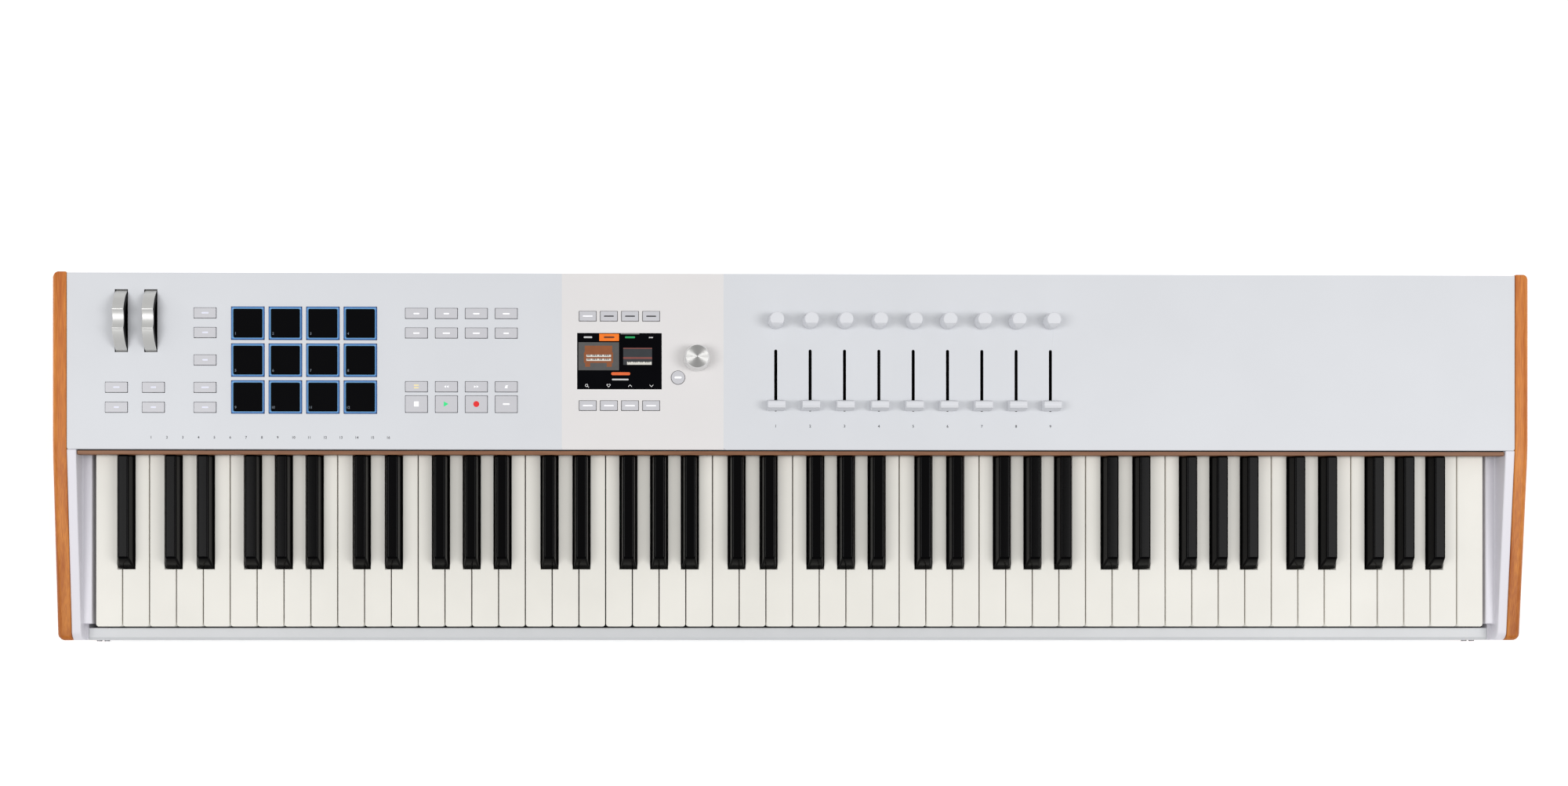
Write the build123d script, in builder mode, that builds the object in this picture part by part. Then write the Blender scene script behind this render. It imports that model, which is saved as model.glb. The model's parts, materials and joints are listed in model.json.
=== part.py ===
from build123d import *
import os

# Eighty-eight-key keyboard controller, in millimetres.
# +X runs to the treble end, +Y to the rear and +Z up. The origin is on the table, below the middle.
# "from_front" below means the distance behind the front face of the case.

# ---------------------------------------------------------------- case
WIDTH = 1290.0
DEPTH = 320.0
FOOT_HEIGHT = 8.0
PANEL_TOP = 103.0          # top face of the control panel
SHEET = 1.2                # steel of the pan and the rear panel
COVER_THICKNESS = 2.0
CHEEK_THICKNESS = 13.0
CHEEK_PROUD = 1.0          # the wood stands this far above the panel
CHEEK_CORNER = 6.5         # upright outer corners of the wood
CASE_GAP = 0.4             # play between the cheeks and what lies between them
PANEL_FROM_FRONT = 166.0   # front edge of the control panel
REAR_FROM_FRONT = 319.2    # outer face of the rear panel
FRONT_DROP = 16.0          # how far the cheeks and end blocks have fallen at the front
SHOULDER_RADIUS = 300.0    # where the cheeks turn from level to falling
CHEEK_NOSE = 5.0           # upper front corners, seen from the side
BLOCK_NOSE = 8.0
LEDGE_TOP = 83.0           # ledges beside the keys
RAIL_TOP = 74.0
RAIL_DEPTH = 10.8
RAIL_WALL = 2.0
RAIL_HALF = 620.6
STRIP_WIDTH = 8.3          # upper strip of an end block, beside the cheek
LEDGE_INNER = 615.2
LEDGE_FROM_FRONT = 14.5
BLOCK_FOOT_INNER = 620.8
BLOCK_WALL = 2.5

HALF = WIDTH / 2 - CHEEK_THICKNESS
COVER_BOTTOM = PANEL_TOP - COVER_THICKNESS
PAN_TOP = FOOT_HEIGHT + SHEET

# ---------------------------------------------------------------- keys
KEY_TOP = 88.0
KEY_PITCH = 23.5
KEY_GAP = 0.9
KEY_WIDTH = KEY_PITCH - KEY_GAP
KEY_FROM_FRONT = 12.1
HEAD_LENGTH = 50.3
KEY_LENGTH = 233.0
KEY_WALL = 1.6
KEY_SKIN = 2.5
KEY_BOTTOM = 70.0
TAIL_TOP = 84.0            # a key is lower where it runs under the panel's boards
TAIL_FROM_FRONT = 169.0
LIP_BOTTOM = 68.0
LIP_DEPTH = 3.0
KEY_CORNER = 2.5
SHARP_WIDTH = 13.7
SHARP_TOP_WIDTH = 9.4
SHARP_TOP = 100.0
SHARP_FROM_FRONT = 63.4
SHARP_SLOPE = 8.4          # how far the top of a black key starts behind its foot
SHARP_REAR = 161.5
SHARP_LEVER_WIDTH = 11.0
WHITE_KEYS = 52
OCTAVE = 7 * KEY_PITCH
FIRST_EDGE = -WHITE_KEYS * KEY_PITCH / 2
# Each black key stands a little off the line between its two white keys.
SHARP_OFFSET = {"c_sharp": -2.3, "d_sharp": 2.3, "f_sharp": -3.5, "g_sharp": 0.0, "a_sharp": 3.5}
SHARP_AFTER = {"c_sharp": "c", "d_sharp": "d", "f_sharp": "f", "g_sharp": "g", "a_sharp": "a"}
# The row starts on A, so a note's first white key has this place in the row.
NOTE_PLACE = {"a": 0, "b": 1, "c": 2, "d": 3, "e": 4, "f": 5, "g": 6}

# All the keys pivot on one rounded ridge, under their rear ends.
PIVOT_FROM_FRONT = 237.0
PIVOT_Z = 72.0
PIVOT_RADIUS = 2.5
PIVOT_CLEARANCE = 0.05
PIVOT_BLOCK = 9.0          # half length of the solid rear end of a key

# ---------------------------------------------------------------- keybed
BED_HALF = 612.8
BED_SHEET = 1.0
BED_FRONT = 18.0
BED_REAR = 247.0
BED_STOP_TOP = 55.0
BED_SIDE_TOP = 62.0
RIDGE_GAP = 0.8            # between the flat of the rear rail and the keys
RAIL_HALF_DEPTH = 8.0      # the rear rail that carries the pivot ridge
HAMMERS = 88
HAMMER_WIDTH = 9.0
HAMMER_PIVOT = (170.0, 34.0)
HAMMER_BOSS = 5.0
HAMMER_HEAD = (46.0, 70.0)            # from_front of the iron head's two ends
HAMMER_ARM = (70.0, 216.0)            # from_front of the arm's two ends
HAMMER_HEAD_HEIGHT = 16.0
HAMMER_ARM_HEIGHT = 4.0
CONTACT_BOARD = (95.0, 135.0, 60.0)   # from_front of its two edges, and its underside

# ---------------------------------------------------------------- controls
ROWS = (202.3, 219.6, 243.4, 267.2, 284.2)     # from_front of the button rows
WHEEL_X = (-584.5, -559.0)
WHEEL_FROM_FRONT = 277.4
WHEEL_RADIUS = 31.0
WHEEL_DROP = 17.0          # axle below the panel's top face
WHEEL_WIDTH = 10.0
WHEEL_SLOT = (11.4, 54.5)
WHEEL_NOTCH_RADIUS = 15.0
WHEEL_NOTCH_DEPTH = 3.0
WHEEL_RIM = 6.0
WHEEL_HUB = 4.0            # wall round the bore
WHEEL_DISH = 3.0           # depth of the hollow in each side
AXLE_RADIUS = 3.0
BRACKET_EARS = (-592.6, -571.75, -550.9)
BRACKET_SHEET = 1.5
RUNNING = 0.05

PAD_X = tuple(-475.0 + 32.5 * i for i in range(4))
PAD_ROWS = tuple(211.4 + 32.0 * i for i in range(3))
PAD_FRAME = 28.9
PAD_OPENING = 25.2
PAD_SIZE = 24.6
PAD_PROUD = 2.0
FRAME_PROUD = 0.8

BUTTON = (19.0, 8.8)
BIG_BUTTON = (19.0, 14.4)
SOFT_KEY = (14.6, 8.4)
BUTTON_PROUD = 1.2
BUTTON_CORNER = 0.9
BUTTON_PLAY = 0.35
FLANGE = 1.0
FLANGE_THICKNESS = 1.6
BACK_BUTTON_RADIUS = 5.85
WHEEL_BUTTON_X = (-588.7, -556.7)
PAD_BUTTON_X = -512.0
DAW_X = tuple(-328.8 + 26.0 * i for i in range(4))
TRANSPORT_ROWS = (220.5, 205.4)
SOFT_X = tuple(-180.0 + 18.4 * i for i in range(4))
SOFT_ROWS = (282.1, 204.3)
BACK_BUTTON_AT = (-101.4, 228.8)

FASCIA = (-202.5, -61.7)
FASCIA_THICKNESS = 1.0
SCREEN_AT = (-152.4, 243.0)
SCREEN = (73.7, 49.0)
LCD = (82.0, 57.0, 4.5)

ENCODER_AT = (-85.1, 245.6)
ENCODER_RADIUS = 11.4
ENCODER_TOP_RADIUS = 10.3
KNOB_X = tuple(-16.2 + 30.0 * i for i in range(9))
KNOB_FROM_FRONT = 278.0
KNOB_RADIUS = 6.85
KNOB_TOP_RADIUS = 6.1
KNOB_LIFT = 0.8
KNOB_HEIGHT = 14.2
KNOB_CUT = (1.6, 38.0)     # the pointer cut: its start in front of the top face, and its slant
SHAFT_RADIUS = 3.0
SHAFT_BOTTOM = 89.0
BUSHING_RADIUS = 4.4
ENCODER_BODY = 12.4

FADER_CAP = (15.2, 9.1)
FADER_CAP_TOP = (15.2, 6.0)
FADER_CAP_HEIGHT = 10.5
FADER_STEM = (1.6, 5.0)
FADER_SCOOP = (6.0, 0.8)   # radius and depth of the fingertip hollow
FADER_TRAVEL = 45.0
FADER_REST = 204.5         # from_front of a cap at the near end of its slot
FADER_SLOT = (2.7, 52.8)
FADER_BODY = (9.0, 62.0, 7.0)

BOARD = 1.6
BOARD_LOW = 85.4           # undersides of the boards under the panel
BOARD_HIGH = 90.0

# ---------------------------------------------------------------- rear and underside
JACK_X = tuple(-500.0 + 22.0 * i for i in range(5))
JACK_Z = 55.0
JACK_BORE = 3.2
JACK_DEPTH = 26.0
JACK_NUT = (6.5, 2.0)
JACK_BARREL = 4.5
JACK_BODY = (16.0, 24.0, 16.0)
DIN_X = (-376.0, -346.0)
DIN_RADIUS = 8.0
DIN_BORE = (6.9, 7.0)
DIN_BODY = (20.0, 14.0, 20.0)
USB_X = -314.0
USB_SLOT = (8.9, 3.2)
POWER_X = -290.0
POWER_BORE = (3.1, 9.0)
LOCK_SLOT = (-262.0, 7.0, 3.0)
FOOT_RADIUS = 12.0
FOOT_AT = [(x, f) for x in (-560.0, 0.0, 560.0) for f in (26.0, 290.0)]
FRONT_SCREWS = (610.9, 617.8)
FRONT_SCREW_Z = 50.0
SCREW_RADIUS = 1.5
SCREW_HEAD = (2.4, 1.2)
PAN_SCREWS = [(x, f) for x in (-600.0, -300.0, 300.0, 600.0) for f in (60.0, 240.0)]
REAR_SCREW_X = (-600.0, -200.0, 200.0, 600.0)


def back(from_front):
    """The Y of a place given by its distance behind the front face."""
    return from_front - DEPTH / 2


def save(part, name):
    """Labels a finished piece and writes it under that name."""
    part.label = name
    export_step(part, f"parts/{name}.step")


def box(x, from_front, z, mode=Mode.ADD):
    """A box from (low, high) pairs along X, back from the front face, and Z."""
    spans = [x, (back(from_front[0]), back(from_front[1])), z]
    with Locations(Location(tuple(sum(s) / 2 for s in spans))):
        Box(*(s[1] - s[0] for s in spans), mode=mode)


def pin(x, from_front, z, radius, mode=Mode.ADD):
    """An upright cylinder from (low, high) along Z."""
    with Locations(Location((x, back(from_front), sum(z) / 2))):
        Cylinder(radius, z[1] - z[0], mode=mode)


def rod_x(x, from_front, z, radius, mode=Mode.ADD):
    """A cylinder lying along X from (low, high)."""
    with Locations(Location((sum(x) / 2, back(from_front), z), (0, 90, 0))):
        Cylinder(radius, x[1] - x[0], mode=mode)


def rod_y(x, from_front, z, radius, mode=Mode.ADD):
    """A cylinder lying along Y from (low, high) behind the front face."""
    with Locations(Location((x, back(sum(from_front) / 2), z), (90, 0, 0))):
        Cylinder(radius, from_front[1] - from_front[0], mode=mode)


# ---------------------------------------------------------------- what stands in the panel
def button_places():
    """Each button group as name -> list of (x, from_front, width, depth)."""
    return {
        "wheel_buttons": [(x, f, *BUTTON) for x in WHEEL_BUTTON_X for f in ROWS[:2]],
        "pad_buttons": [(PAD_BUTTON_X, f, *BUTTON) for f in ROWS],
        "daw_buttons": [(x, f, *BUTTON) for x in DAW_X for f in ROWS[3:]],
        "transport_buttons": [(x, TRANSPORT_ROWS[0], *BUTTON) for x in DAW_X]
        + [(x, TRANSPORT_ROWS[1], *BIG_BUTTON) for x in DAW_X],
        "display_buttons": [(x, f, *SOFT_KEY) for x in SOFT_X for f in SOFT_ROWS],
    }


def cut_panel_holes(depth):
    """Cuts every control's hole through the sheet or sheets below the panel's top face."""
    with BuildSketch(Plane.XY.offset(PANEL_TOP)) as holes:
        for places in button_places().values():
            for x, f, wide, deep in places:
                with Locations((x, back(f))):
                    Rectangle(wide + 2 * BUTTON_PLAY, deep + 2 * BUTTON_PLAY)
        with Locations((BACK_BUTTON_AT[0], back(BACK_BUTTON_AT[1]))):
            Circle(BACK_BUTTON_RADIUS + BUTTON_PLAY)
        with Locations(*[(x, back(f)) for x in PAD_X for f in PAD_ROWS]):
            Rectangle(PAD_FRAME + 0.2, PAD_FRAME + 0.2)
        with Locations(*[(x, back(WHEEL_FROM_FRONT)) for x in WHEEL_X]):
            Rectangle(*WHEEL_SLOT)
        with Locations(*[(x, back(FADER_REST + FADER_TRAVEL / 2)) for x in KNOB_X]):
            SlotOverall(FADER_SLOT[1], FADER_SLOT[0], rotation=90)
        with Locations(*[(x, back(KNOB_FROM_FRONT)) for x in KNOB_X]):
            Circle(SHAFT_RADIUS + 0.6)
        with Locations((ENCODER_AT[0], back(ENCODER_AT[1]))):
            Circle(SHAFT_RADIUS + 0.6)
        with Locations((SCREEN_AT[0], back(SCREEN_AT[1]))):
            Rectangle(*SCREEN)
    extrude(holes.sketch, amount=-depth, mode=Mode.SUBTRACT)


def make_top_cover():
    """Control panel: one sheet with a shallow pocket for the fascia, a front lip and board posts."""
    low_posts = [(x, f) for x in (-30.0, 238.0) for f in (193.0, 292.0)]
    high_posts = [(x, f) for x in (-532.0, -238.0) for f in (192.0, 296.0)]
    high_posts += [(x, f) for x in (-206.0, -64.0) for f in (192.0, 296.0)]
    with BuildPart() as cover:
        edge = HALF - CASE_GAP
        box((-edge, edge), (PANEL_FROM_FRONT, REAR_FROM_FRONT), (COVER_BOTTOM, PANEL_TOP))
        box((-edge, edge), (PANEL_FROM_FRONT, PANEL_FROM_FRONT + 2), (92.0, COVER_BOTTOM))
        for x, f in low_posts:
            pin(x, f, (BOARD_LOW + BOARD, COVER_BOTTOM), 3.0)
        for x, f in high_posts:
            pin(x, f, (BOARD_HIGH + BOARD, COVER_BOTTOM), 3.0)
        pocket = (PANEL_TOP - FASCIA_THICKNESS, PANEL_TOP)
        box(FASCIA, (PANEL_FROM_FRONT, REAR_FROM_FRONT), pocket, Mode.SUBTRACT)
        cut_panel_holes(COVER_THICKNESS)
    save(cover.part, "top_cover")


def make_center_fascia():
    """Thin plate around the screen, flush in its pocket."""
    with BuildPart() as fascia:
        level = (PANEL_TOP - FASCIA_THICKNESS, PANEL_TOP)
        box(FASCIA, (PANEL_FROM_FRONT, REAR_FROM_FRONT), level)
        cut_panel_holes(FASCIA_THICKNESS)
    save(fascia.part, "center_fascia")


def make_display():
    """Screen window over its display body."""
    x, y = SCREEN_AT[0], back(SCREEN_AT[1])
    with BuildPart() as display:
        with Locations(Location((x, y, COVER_BOTTOM + COVER_THICKNESS / 2))):
            Box(*SCREEN, COVER_THICKNESS)
    with BuildPart() as body:
        with Locations(Location((x, y, COVER_BOTTOM - LCD[2] / 2))):
            Box(*LCD)
    save(Compound([display.part, body.part]), "display_module")


def make_buttons(name, places):
    """A group of button caps, each with the flange that keeps it under the panel."""
    with BuildPart() as caps:
        for x, f, wide, deep in places:
            with BuildSketch(Plane.XY.offset(COVER_BOTTOM - 0.1)):
                with Locations((x, back(f))):
                    RectangleRounded(wide, deep, BUTTON_CORNER)
            extrude(amount=COVER_THICKNESS + 0.1 + BUTTON_PROUD)
            with BuildSketch(Plane.XY.offset(COVER_BOTTOM - 0.1 - FLANGE_THICKNESS)):
                with Locations((x, back(f))):
                    Rectangle(wide + 2 * FLANGE, deep + 2 * FLANGE)
            extrude(amount=FLANGE_THICKNESS)
        if name == "display_buttons":
            x, f = BACK_BUTTON_AT
            flange = (COVER_BOTTOM - 0.1 - FLANGE_THICKNESS, COVER_BOTTOM - 0.1)
            pin(x, f, (flange[1], PANEL_TOP + BUTTON_PROUD), BACK_BUTTON_RADIUS)
            pin(x, f, flange, BACK_BUTTON_RADIUS + FLANGE)
    save(caps.part, name)


def make_pads():
    """Twelve rubber pads, each inside a light frame of its own."""
    places = [(x, back(f)) for x in PAD_X for f in PAD_ROWS]
    with BuildPart() as frames:
        with BuildSketch(Plane.XY.offset(98.5)):
            with Locations(*places):
                RectangleRounded(PAD_FRAME, PAD_FRAME, 1.6)
                RectangleRounded(PAD_OPENING, PAD_OPENING, 0.8, mode=Mode.SUBTRACT)
        extrude(amount=PANEL_TOP + FRAME_PROUD - 98.5)
    save(frames.part, "pad_frames")
    with BuildPart() as pads:
        with BuildSketch(Plane.XY.offset(97.0)):
            with Locations(*places):
                RectangleRounded(PAD_SIZE, PAD_SIZE, 0.8)
        extrude(amount=PANEL_TOP + PAD_PROUD - 97.0)
    save(pads.part, "drum_pads")


def make_wheel(name, x):
    """A thumb wheel with a scooped notch in its rim and a bore for the axle."""
    y, z = back(WHEEL_FROM_FRONT), PANEL_TOP - WHEEL_DROP
    notch_z = z + WHEEL_RADIUS - WHEEL_NOTCH_DEPTH + WHEEL_NOTCH_RADIUS
    side = Plane(origin=(x - WHEEL_WIDTH / 2, y, z), x_dir=(0, 1, 0), z_dir=(1, 0, 0))
    with BuildPart() as wheel:
        with BuildSketch(side):
            Circle(WHEEL_RADIUS)
            Circle(AXLE_RADIUS + RUNNING, mode=Mode.SUBTRACT)
            with Locations((0, notch_z - z)):
                Circle(WHEEL_NOTCH_RADIUS, mode=Mode.SUBTRACT)
        extrude(amount=WHEEL_WIDTH)
        # Both sides are dished, which leaves a rim, a thin web and a hub.
        for start in (0.0, WHEEL_WIDTH - WHEEL_DISH):
            with BuildSketch(side.offset(start)):
                Circle(WHEEL_RADIUS - WHEEL_RIM)
                Circle(AXLE_RADIUS + WHEEL_HUB, mode=Mode.SUBTRACT)
            extrude(amount=WHEEL_DISH, mode=Mode.SUBTRACT)
    save(wheel.part, name)


def make_wheel_bracket():
    """Bracket under the panel: a slotted plate, three ears and the axle through them."""
    axle_z = PANEL_TOP - WHEEL_DROP
    ears = BRACKET_EARS
    with BuildPart() as bracket:
        plate = (COVER_BOTTOM - BRACKET_SHEET, COVER_BOTTOM)
        box((-600.0, -543.5), (244.0, 311.0), plate)
        for x in WHEEL_X:
            slot = (x - WHEEL_SLOT[0] / 2, x + WHEEL_SLOT[0] / 2)
            reach = WHEEL_SLOT[1] / 2 + 3.0
            box(slot, (WHEEL_FROM_FRONT - reach, WHEEL_FROM_FRONT + reach), plate, Mode.SUBTRACT)
        for x in ears:
            ear = (x - BRACKET_SHEET / 2, x + BRACKET_SHEET / 2)
            box(ear, (WHEEL_FROM_FRONT - 12.0, WHEEL_FROM_FRONT + 12.0), (axle_z - 8.0, plate[0]))
        rod_x((ears[0] - 3.0, ears[-1] + 3.0), WHEEL_FROM_FRONT, axle_z, AXLE_RADIUS)
    save(bracket.part, "wheel_bracket")


def make_knob(number, x):
    """An encoder knob with a slanting pointer cut, and the shaft it is pressed on."""
    base = PANEL_TOP + KNOB_LIFT
    top = base + KNOB_HEIGHT
    y = back(KNOB_FROM_FRONT)
    with BuildPart() as knob:
        with BuildSketch(Plane.XY.offset(base)):
            with Locations((x, y)):
                Circle(KNOB_RADIUS)
        with BuildSketch(Plane.XY.offset(top)):
            with Locations((x, y)):
                Circle(KNOB_TOP_RADIUS)
        loft()
        pin(x, KNOB_FROM_FRONT, (base, top - 4.0), SHAFT_RADIUS + 0.02, Mode.SUBTRACT)
        with Locations(Location((x, y - KNOB_TOP_RADIUS - KNOB_CUT[0], top), (KNOB_CUT[1], 0, 0))):
            Box(2 * KNOB_RADIUS, KNOB_RADIUS, KNOB_RADIUS, mode=Mode.SUBTRACT)
    with BuildPart() as shaft:
        pin(x, KNOB_FROM_FRONT, (SHAFT_BOTTOM, top - 4.1), SHAFT_RADIUS)
    save(Compound([knob.part, shaft.part]), f"knob_{number}")


def make_encoder():
    """The large dial, and the shaft that it turns on and pushes down."""
    x, f = ENCODER_AT
    base, top = PANEL_TOP + KNOB_LIFT, PANEL_TOP + 14.0
    with BuildPart() as dial:
        with BuildSketch(Plane.XY.offset(base)):
            with Locations((x, back(f))):
                Circle(ENCODER_RADIUS)
        with BuildSketch(Plane.XY.offset(top)):
            with Locations((x, back(f))):
                Circle(ENCODER_TOP_RADIUS)
        loft()
        pin(x, f, (base, top - 3.0), SHAFT_RADIUS + RUNNING, Mode.SUBTRACT)
    save(dial.part, "encoder_knob")
    with BuildPart() as shaft:
        pin(x, f, (SHAFT_BOTTOM, top - 3.1), SHAFT_RADIUS)
    save(shaft.part, "encoder_shaft")


def make_fader(number, x):
    """A fader cap, narrower at the top and scooped for a fingertip, on its stem."""
    y = back(FADER_REST)
    base = PANEL_TOP + 1.0
    with BuildPart() as cap:
        with BuildSketch(Plane.XY.offset(base)):
            with Locations((x, y)):
                Rectangle(*FADER_CAP)
        with BuildSketch(Plane.XY.offset(base + FADER_CAP_HEIGHT)):
            with Locations((x, y)):
                Rectangle(*FADER_CAP_TOP)
        loft()
        radius, depth = FADER_SCOOP
        reach = (x - FADER_CAP[0], x + FADER_CAP[0])
        rod_x(reach, FADER_REST, base + FADER_CAP_HEIGHT + radius - depth, radius, Mode.SUBTRACT)
    with BuildPart() as stem:
        with Locations(Location((x, y, (base + 91.0) / 2))):
            Box(*FADER_STEM, base - 91.0)
    save(Compound([cap.part, stem.part]), f"fader_{number}")


def make_control_sensors():
    """Rotary encoders under the knobs and slide potentiometers under the faders."""
    board_top = BOARD_LOW + BOARD
    rotary = [(x, KNOB_FROM_FRONT) for x in KNOB_X] + [ENCODER_AT]
    fader_middle = FADER_REST + FADER_TRAVEL / 2
    with BuildPart() as sensors:
        for x, f in rotary:
            r = ENCODER_BODY / 2
            box((x - r, x + r), (f - r, f + r), (board_top, 94.0))
            pin(x, f, (94.0, COVER_BOTTOM), BUSHING_RADIUS)
            pin(x, f, (SHAFT_BOTTOM - 1.0, COVER_BOTTOM), SHAFT_RADIUS + RUNNING, Mode.SUBTRACT)
        for x in KNOB_X:
            wide, long, high = FADER_BODY
            ends = (fader_middle - long / 2, fader_middle + long / 2)
            box((x - wide / 2, x + wide / 2), ends, (board_top, board_top + high))
            slot = (fader_middle - FADER_SLOT[1] / 2, fader_middle + FADER_SLOT[1] / 2)
            box((x - 1.3, x + 1.3), slot, (board_top + 3.0, board_top + high), Mode.SUBTRACT)
    save(sensors.part, "control_sensors")


def make_circuit_boards():
    """The key contact board, the boards under the panel and the main board."""
    low = (BOARD_LOW, BOARD_LOW + BOARD)
    high = (BOARD_HIGH, BOARD_HIGH + BOARD)
    near, far, under = CONTACT_BOARD
    with BuildPart() as boards:
        box((-BED_HALF + BED_SHEET, BED_HALF - BED_SHEET), (near, far), (under, under + BOARD))
        box((-536.0, -234.0), (188.0, 300.0), high)
        box((-210.0, -100.0), (188.0, 300.0), high)
        box((-98.0, -58.0), (188.0, 300.0), low)
        box((-36.0, 244.0), (188.0, 297.0), low)
        box((-602.0, -543.5), (194.0, 229.0), high)
        box((-240.0, -60.0), (256.0, 306.0), (20.0, 20.0 + BOARD))
        for x in (-232.0, -68.0):
            for f in (262.0, 300.0):
                pin(x, f, (PAN_TOP, 20.0), 3.0)
    save(boards.part, "circuit_boards")


# ---------------------------------------------------------------- keys
def white_tail(note, place):
    """(left, right) of the narrow rear part of a white key, from the middle of the key."""
    edges = [-KEY_WIDTH / 2, KEY_WIDTH / 2]
    clear = SHARP_WIDTH / 2 + KEY_GAP
    for sharp, before in SHARP_AFTER.items():
        after = min(n for n in NOTE_PLACE if NOTE_PLACE[n] == (NOTE_PLACE[before] + 1) % 7)
        if after == note and place > 0:
            edges[0] = -KEY_PITCH / 2 + SHARP_OFFSET[sharp] + clear
        if before == note and place < WHITE_KEYS - 1:
            edges[1] = KEY_PITCH / 2 + SHARP_OFFSET[sharp] - clear
    return edges


def cut_pivot(half_width):
    """Lifts the rear end of a key clear of the rail and cuts the groove that rides on its ridge."""
    rear = KEY_FROM_FRONT + KEY_LENGTH
    near = PIVOT_FROM_FRONT - PIVOT_BLOCK
    across = (-half_width, half_width)
    box(across, (near, rear), (KEY_BOTTOM - 1.0, PIVOT_Z), Mode.SUBTRACT)
    rod_x(across, PIVOT_FROM_FRONT, PIVOT_Z, PIVOT_RADIUS + PIVOT_CLEARANCE, Mode.SUBTRACT)


def white_key(left, right):
    """One white key, centred on X = 0: a thin moulding open below, with a front lip."""
    front, head_end = KEY_FROM_FRONT, KEY_FROM_FRONT + HEAD_LENGTH
    rear = front + KEY_LENGTH
    half = KEY_WIDTH / 2
    with BuildPart() as key:
        with BuildSketch(Plane.XY.offset(KEY_TOP)) as outline:
            with Locations((0, back((front + head_end) / 2))):
                Rectangle(KEY_WIDTH, HEAD_LENGTH)
            fillet(outline.vertices().group_by(Axis.Y)[0], KEY_CORNER)
            with Locations(((left + right) / 2, back((head_end + rear) / 2))):
                Rectangle(right - left, rear - head_end)
        extrude(amount=KEY_BOTTOM - KEY_TOP)
        box((-half, half), (TAIL_FROM_FRONT, rear), (TAIL_TOP, KEY_TOP), Mode.SUBTRACT)
        box((KEY_CORNER - half, half - KEY_CORNER), (front, front + LIP_DEPTH), (LIP_BOTTOM, KEY_BOTTOM))
        hollow = (KEY_BOTTOM, KEY_TOP - KEY_SKIN)
        head = (front + LIP_DEPTH, head_end - KEY_WALL)
        neck = (head_end - KEY_WALL, TAIL_FROM_FRONT - KEY_WALL)
        tail = (TAIL_FROM_FRONT - KEY_WALL, PIVOT_FROM_FRONT - PIVOT_BLOCK)
        inside = (left + KEY_WALL, right - KEY_WALL)
        box((KEY_WALL - half, half - KEY_WALL), head, hollow, Mode.SUBTRACT)
        box(inside, neck, hollow, Mode.SUBTRACT)
        box(inside, tail, (KEY_BOTTOM, TAIL_TOP - KEY_SKIN), Mode.SUBTRACT)
        cut_pivot(half)
    return key.part


def black_key():
    """One black key, centred on X = 0: a tapered cap with a sloping nose on a lower lever."""
    front, rear = SHARP_FROM_FRONT, KEY_FROM_FRONT + KEY_LENGTH
    half = SHARP_WIDTH / 2
    with BuildPart() as key:
        box((-half, half), (front, SHARP_REAR), (KEY_BOTTOM, KEY_TOP))
        with BuildSketch(Plane.XY.offset(KEY_TOP)):
            with Locations((0, back((front + SHARP_REAR) / 2))):
                Rectangle(SHARP_WIDTH, SHARP_REAR - front)
        with BuildSketch(Plane.XY.offset(SHARP_TOP)):
            with Locations((0, back((front + SHARP_SLOPE + SHARP_REAR) / 2))):
                Rectangle(SHARP_TOP_WIDTH, SHARP_REAR - front - SHARP_SLOPE)
        loft()
        lever = SHARP_LEVER_WIDTH / 2
        box((-lever, lever), (SHARP_REAR, rear), (KEY_BOTTOM, TAIL_TOP))
        inside = (front + KEY_WALL, PIVOT_FROM_FRONT - PIVOT_BLOCK)
        box((KEY_WALL - lever, lever - KEY_WALL), inside, (KEY_BOTTOM, TAIL_TOP - KEY_SKIN), Mode.SUBTRACT)
        cut_pivot(half)
    return key.part


def make_white_keys(note):
    """All the white keys of one note name, as separate solids: a moulding is shared by the octaves."""
    keys = []
    for place in range(NOTE_PLACE[note], WHITE_KEYS, 7):
        middle = FIRST_EDGE + (place + 0.5) * KEY_PITCH
        keys.append(Pos(middle, 0, 0) * white_key(*white_tail(note, place)))
    save(Compound(keys), f"keys_{note}")


def make_black_keys(sharp):
    """All the black keys of one note name, as separate solids."""
    moulding = black_key()
    first = NOTE_PLACE[SHARP_AFTER[sharp]] + 1
    keys = []
    for place in range(first, WHITE_KEYS, 7):
        middle = FIRST_EDGE + place * KEY_PITCH + SHARP_OFFSET[sharp]
        keys.append(Pos(middle, 0, 0) * moulding)
    save(Compound(keys), f"keys_{sharp}")


def make_keybed():
    """Pressed frame of the keybed: base, front stop, rear rail with the pivot ridge, and ends."""
    whole = (-BED_HALF, BED_HALF)
    rail = (PIVOT_FROM_FRONT - RAIL_HALF_DEPTH, PIVOT_FROM_FRONT + RAIL_HALF_DEPTH)
    rail_top = PIVOT_Z - RIDGE_GAP
    with BuildPart() as bed:
        box(whole, (BED_FRONT, BED_REAR), (PAN_TOP, PAN_TOP + BED_SHEET))
        box(whole, (BED_FRONT, BED_FRONT + BED_SHEET), (PAN_TOP, BED_STOP_TOP))
        box(whole, (BED_FRONT, BED_FRONT + 20.0), (BED_STOP_TOP - BED_SHEET, BED_STOP_TOP))
        for edge in (rail[0], rail[1] - BED_SHEET):
            box(whole, (edge, edge + BED_SHEET), (PAN_TOP, rail_top))
        box(whole, rail, (rail_top - BED_SHEET, rail_top))
        # The ridge's flanks stand on the rail, and its crown is the round that the keys turn on.
        ridge = (PIVOT_FROM_FRONT - PIVOT_RADIUS, PIVOT_FROM_FRONT + PIVOT_RADIUS)
        box(whole, ridge, (rail_top, PIVOT_Z))
        rod_x(whole, PIVOT_FROM_FRONT, PIVOT_Z, PIVOT_RADIUS)
        for side in (-1, 1):
            ends = sorted((side * BED_HALF, side * (BED_HALF - BED_SHEET)))
            box(ends, (BED_FRONT, BED_REAR), (PAN_TOP, BED_SIDE_TOP))
        rod_x(whole, *HAMMER_PIVOT, PIVOT_RADIUS)
    save(bed.part, "keybed_frame")


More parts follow.
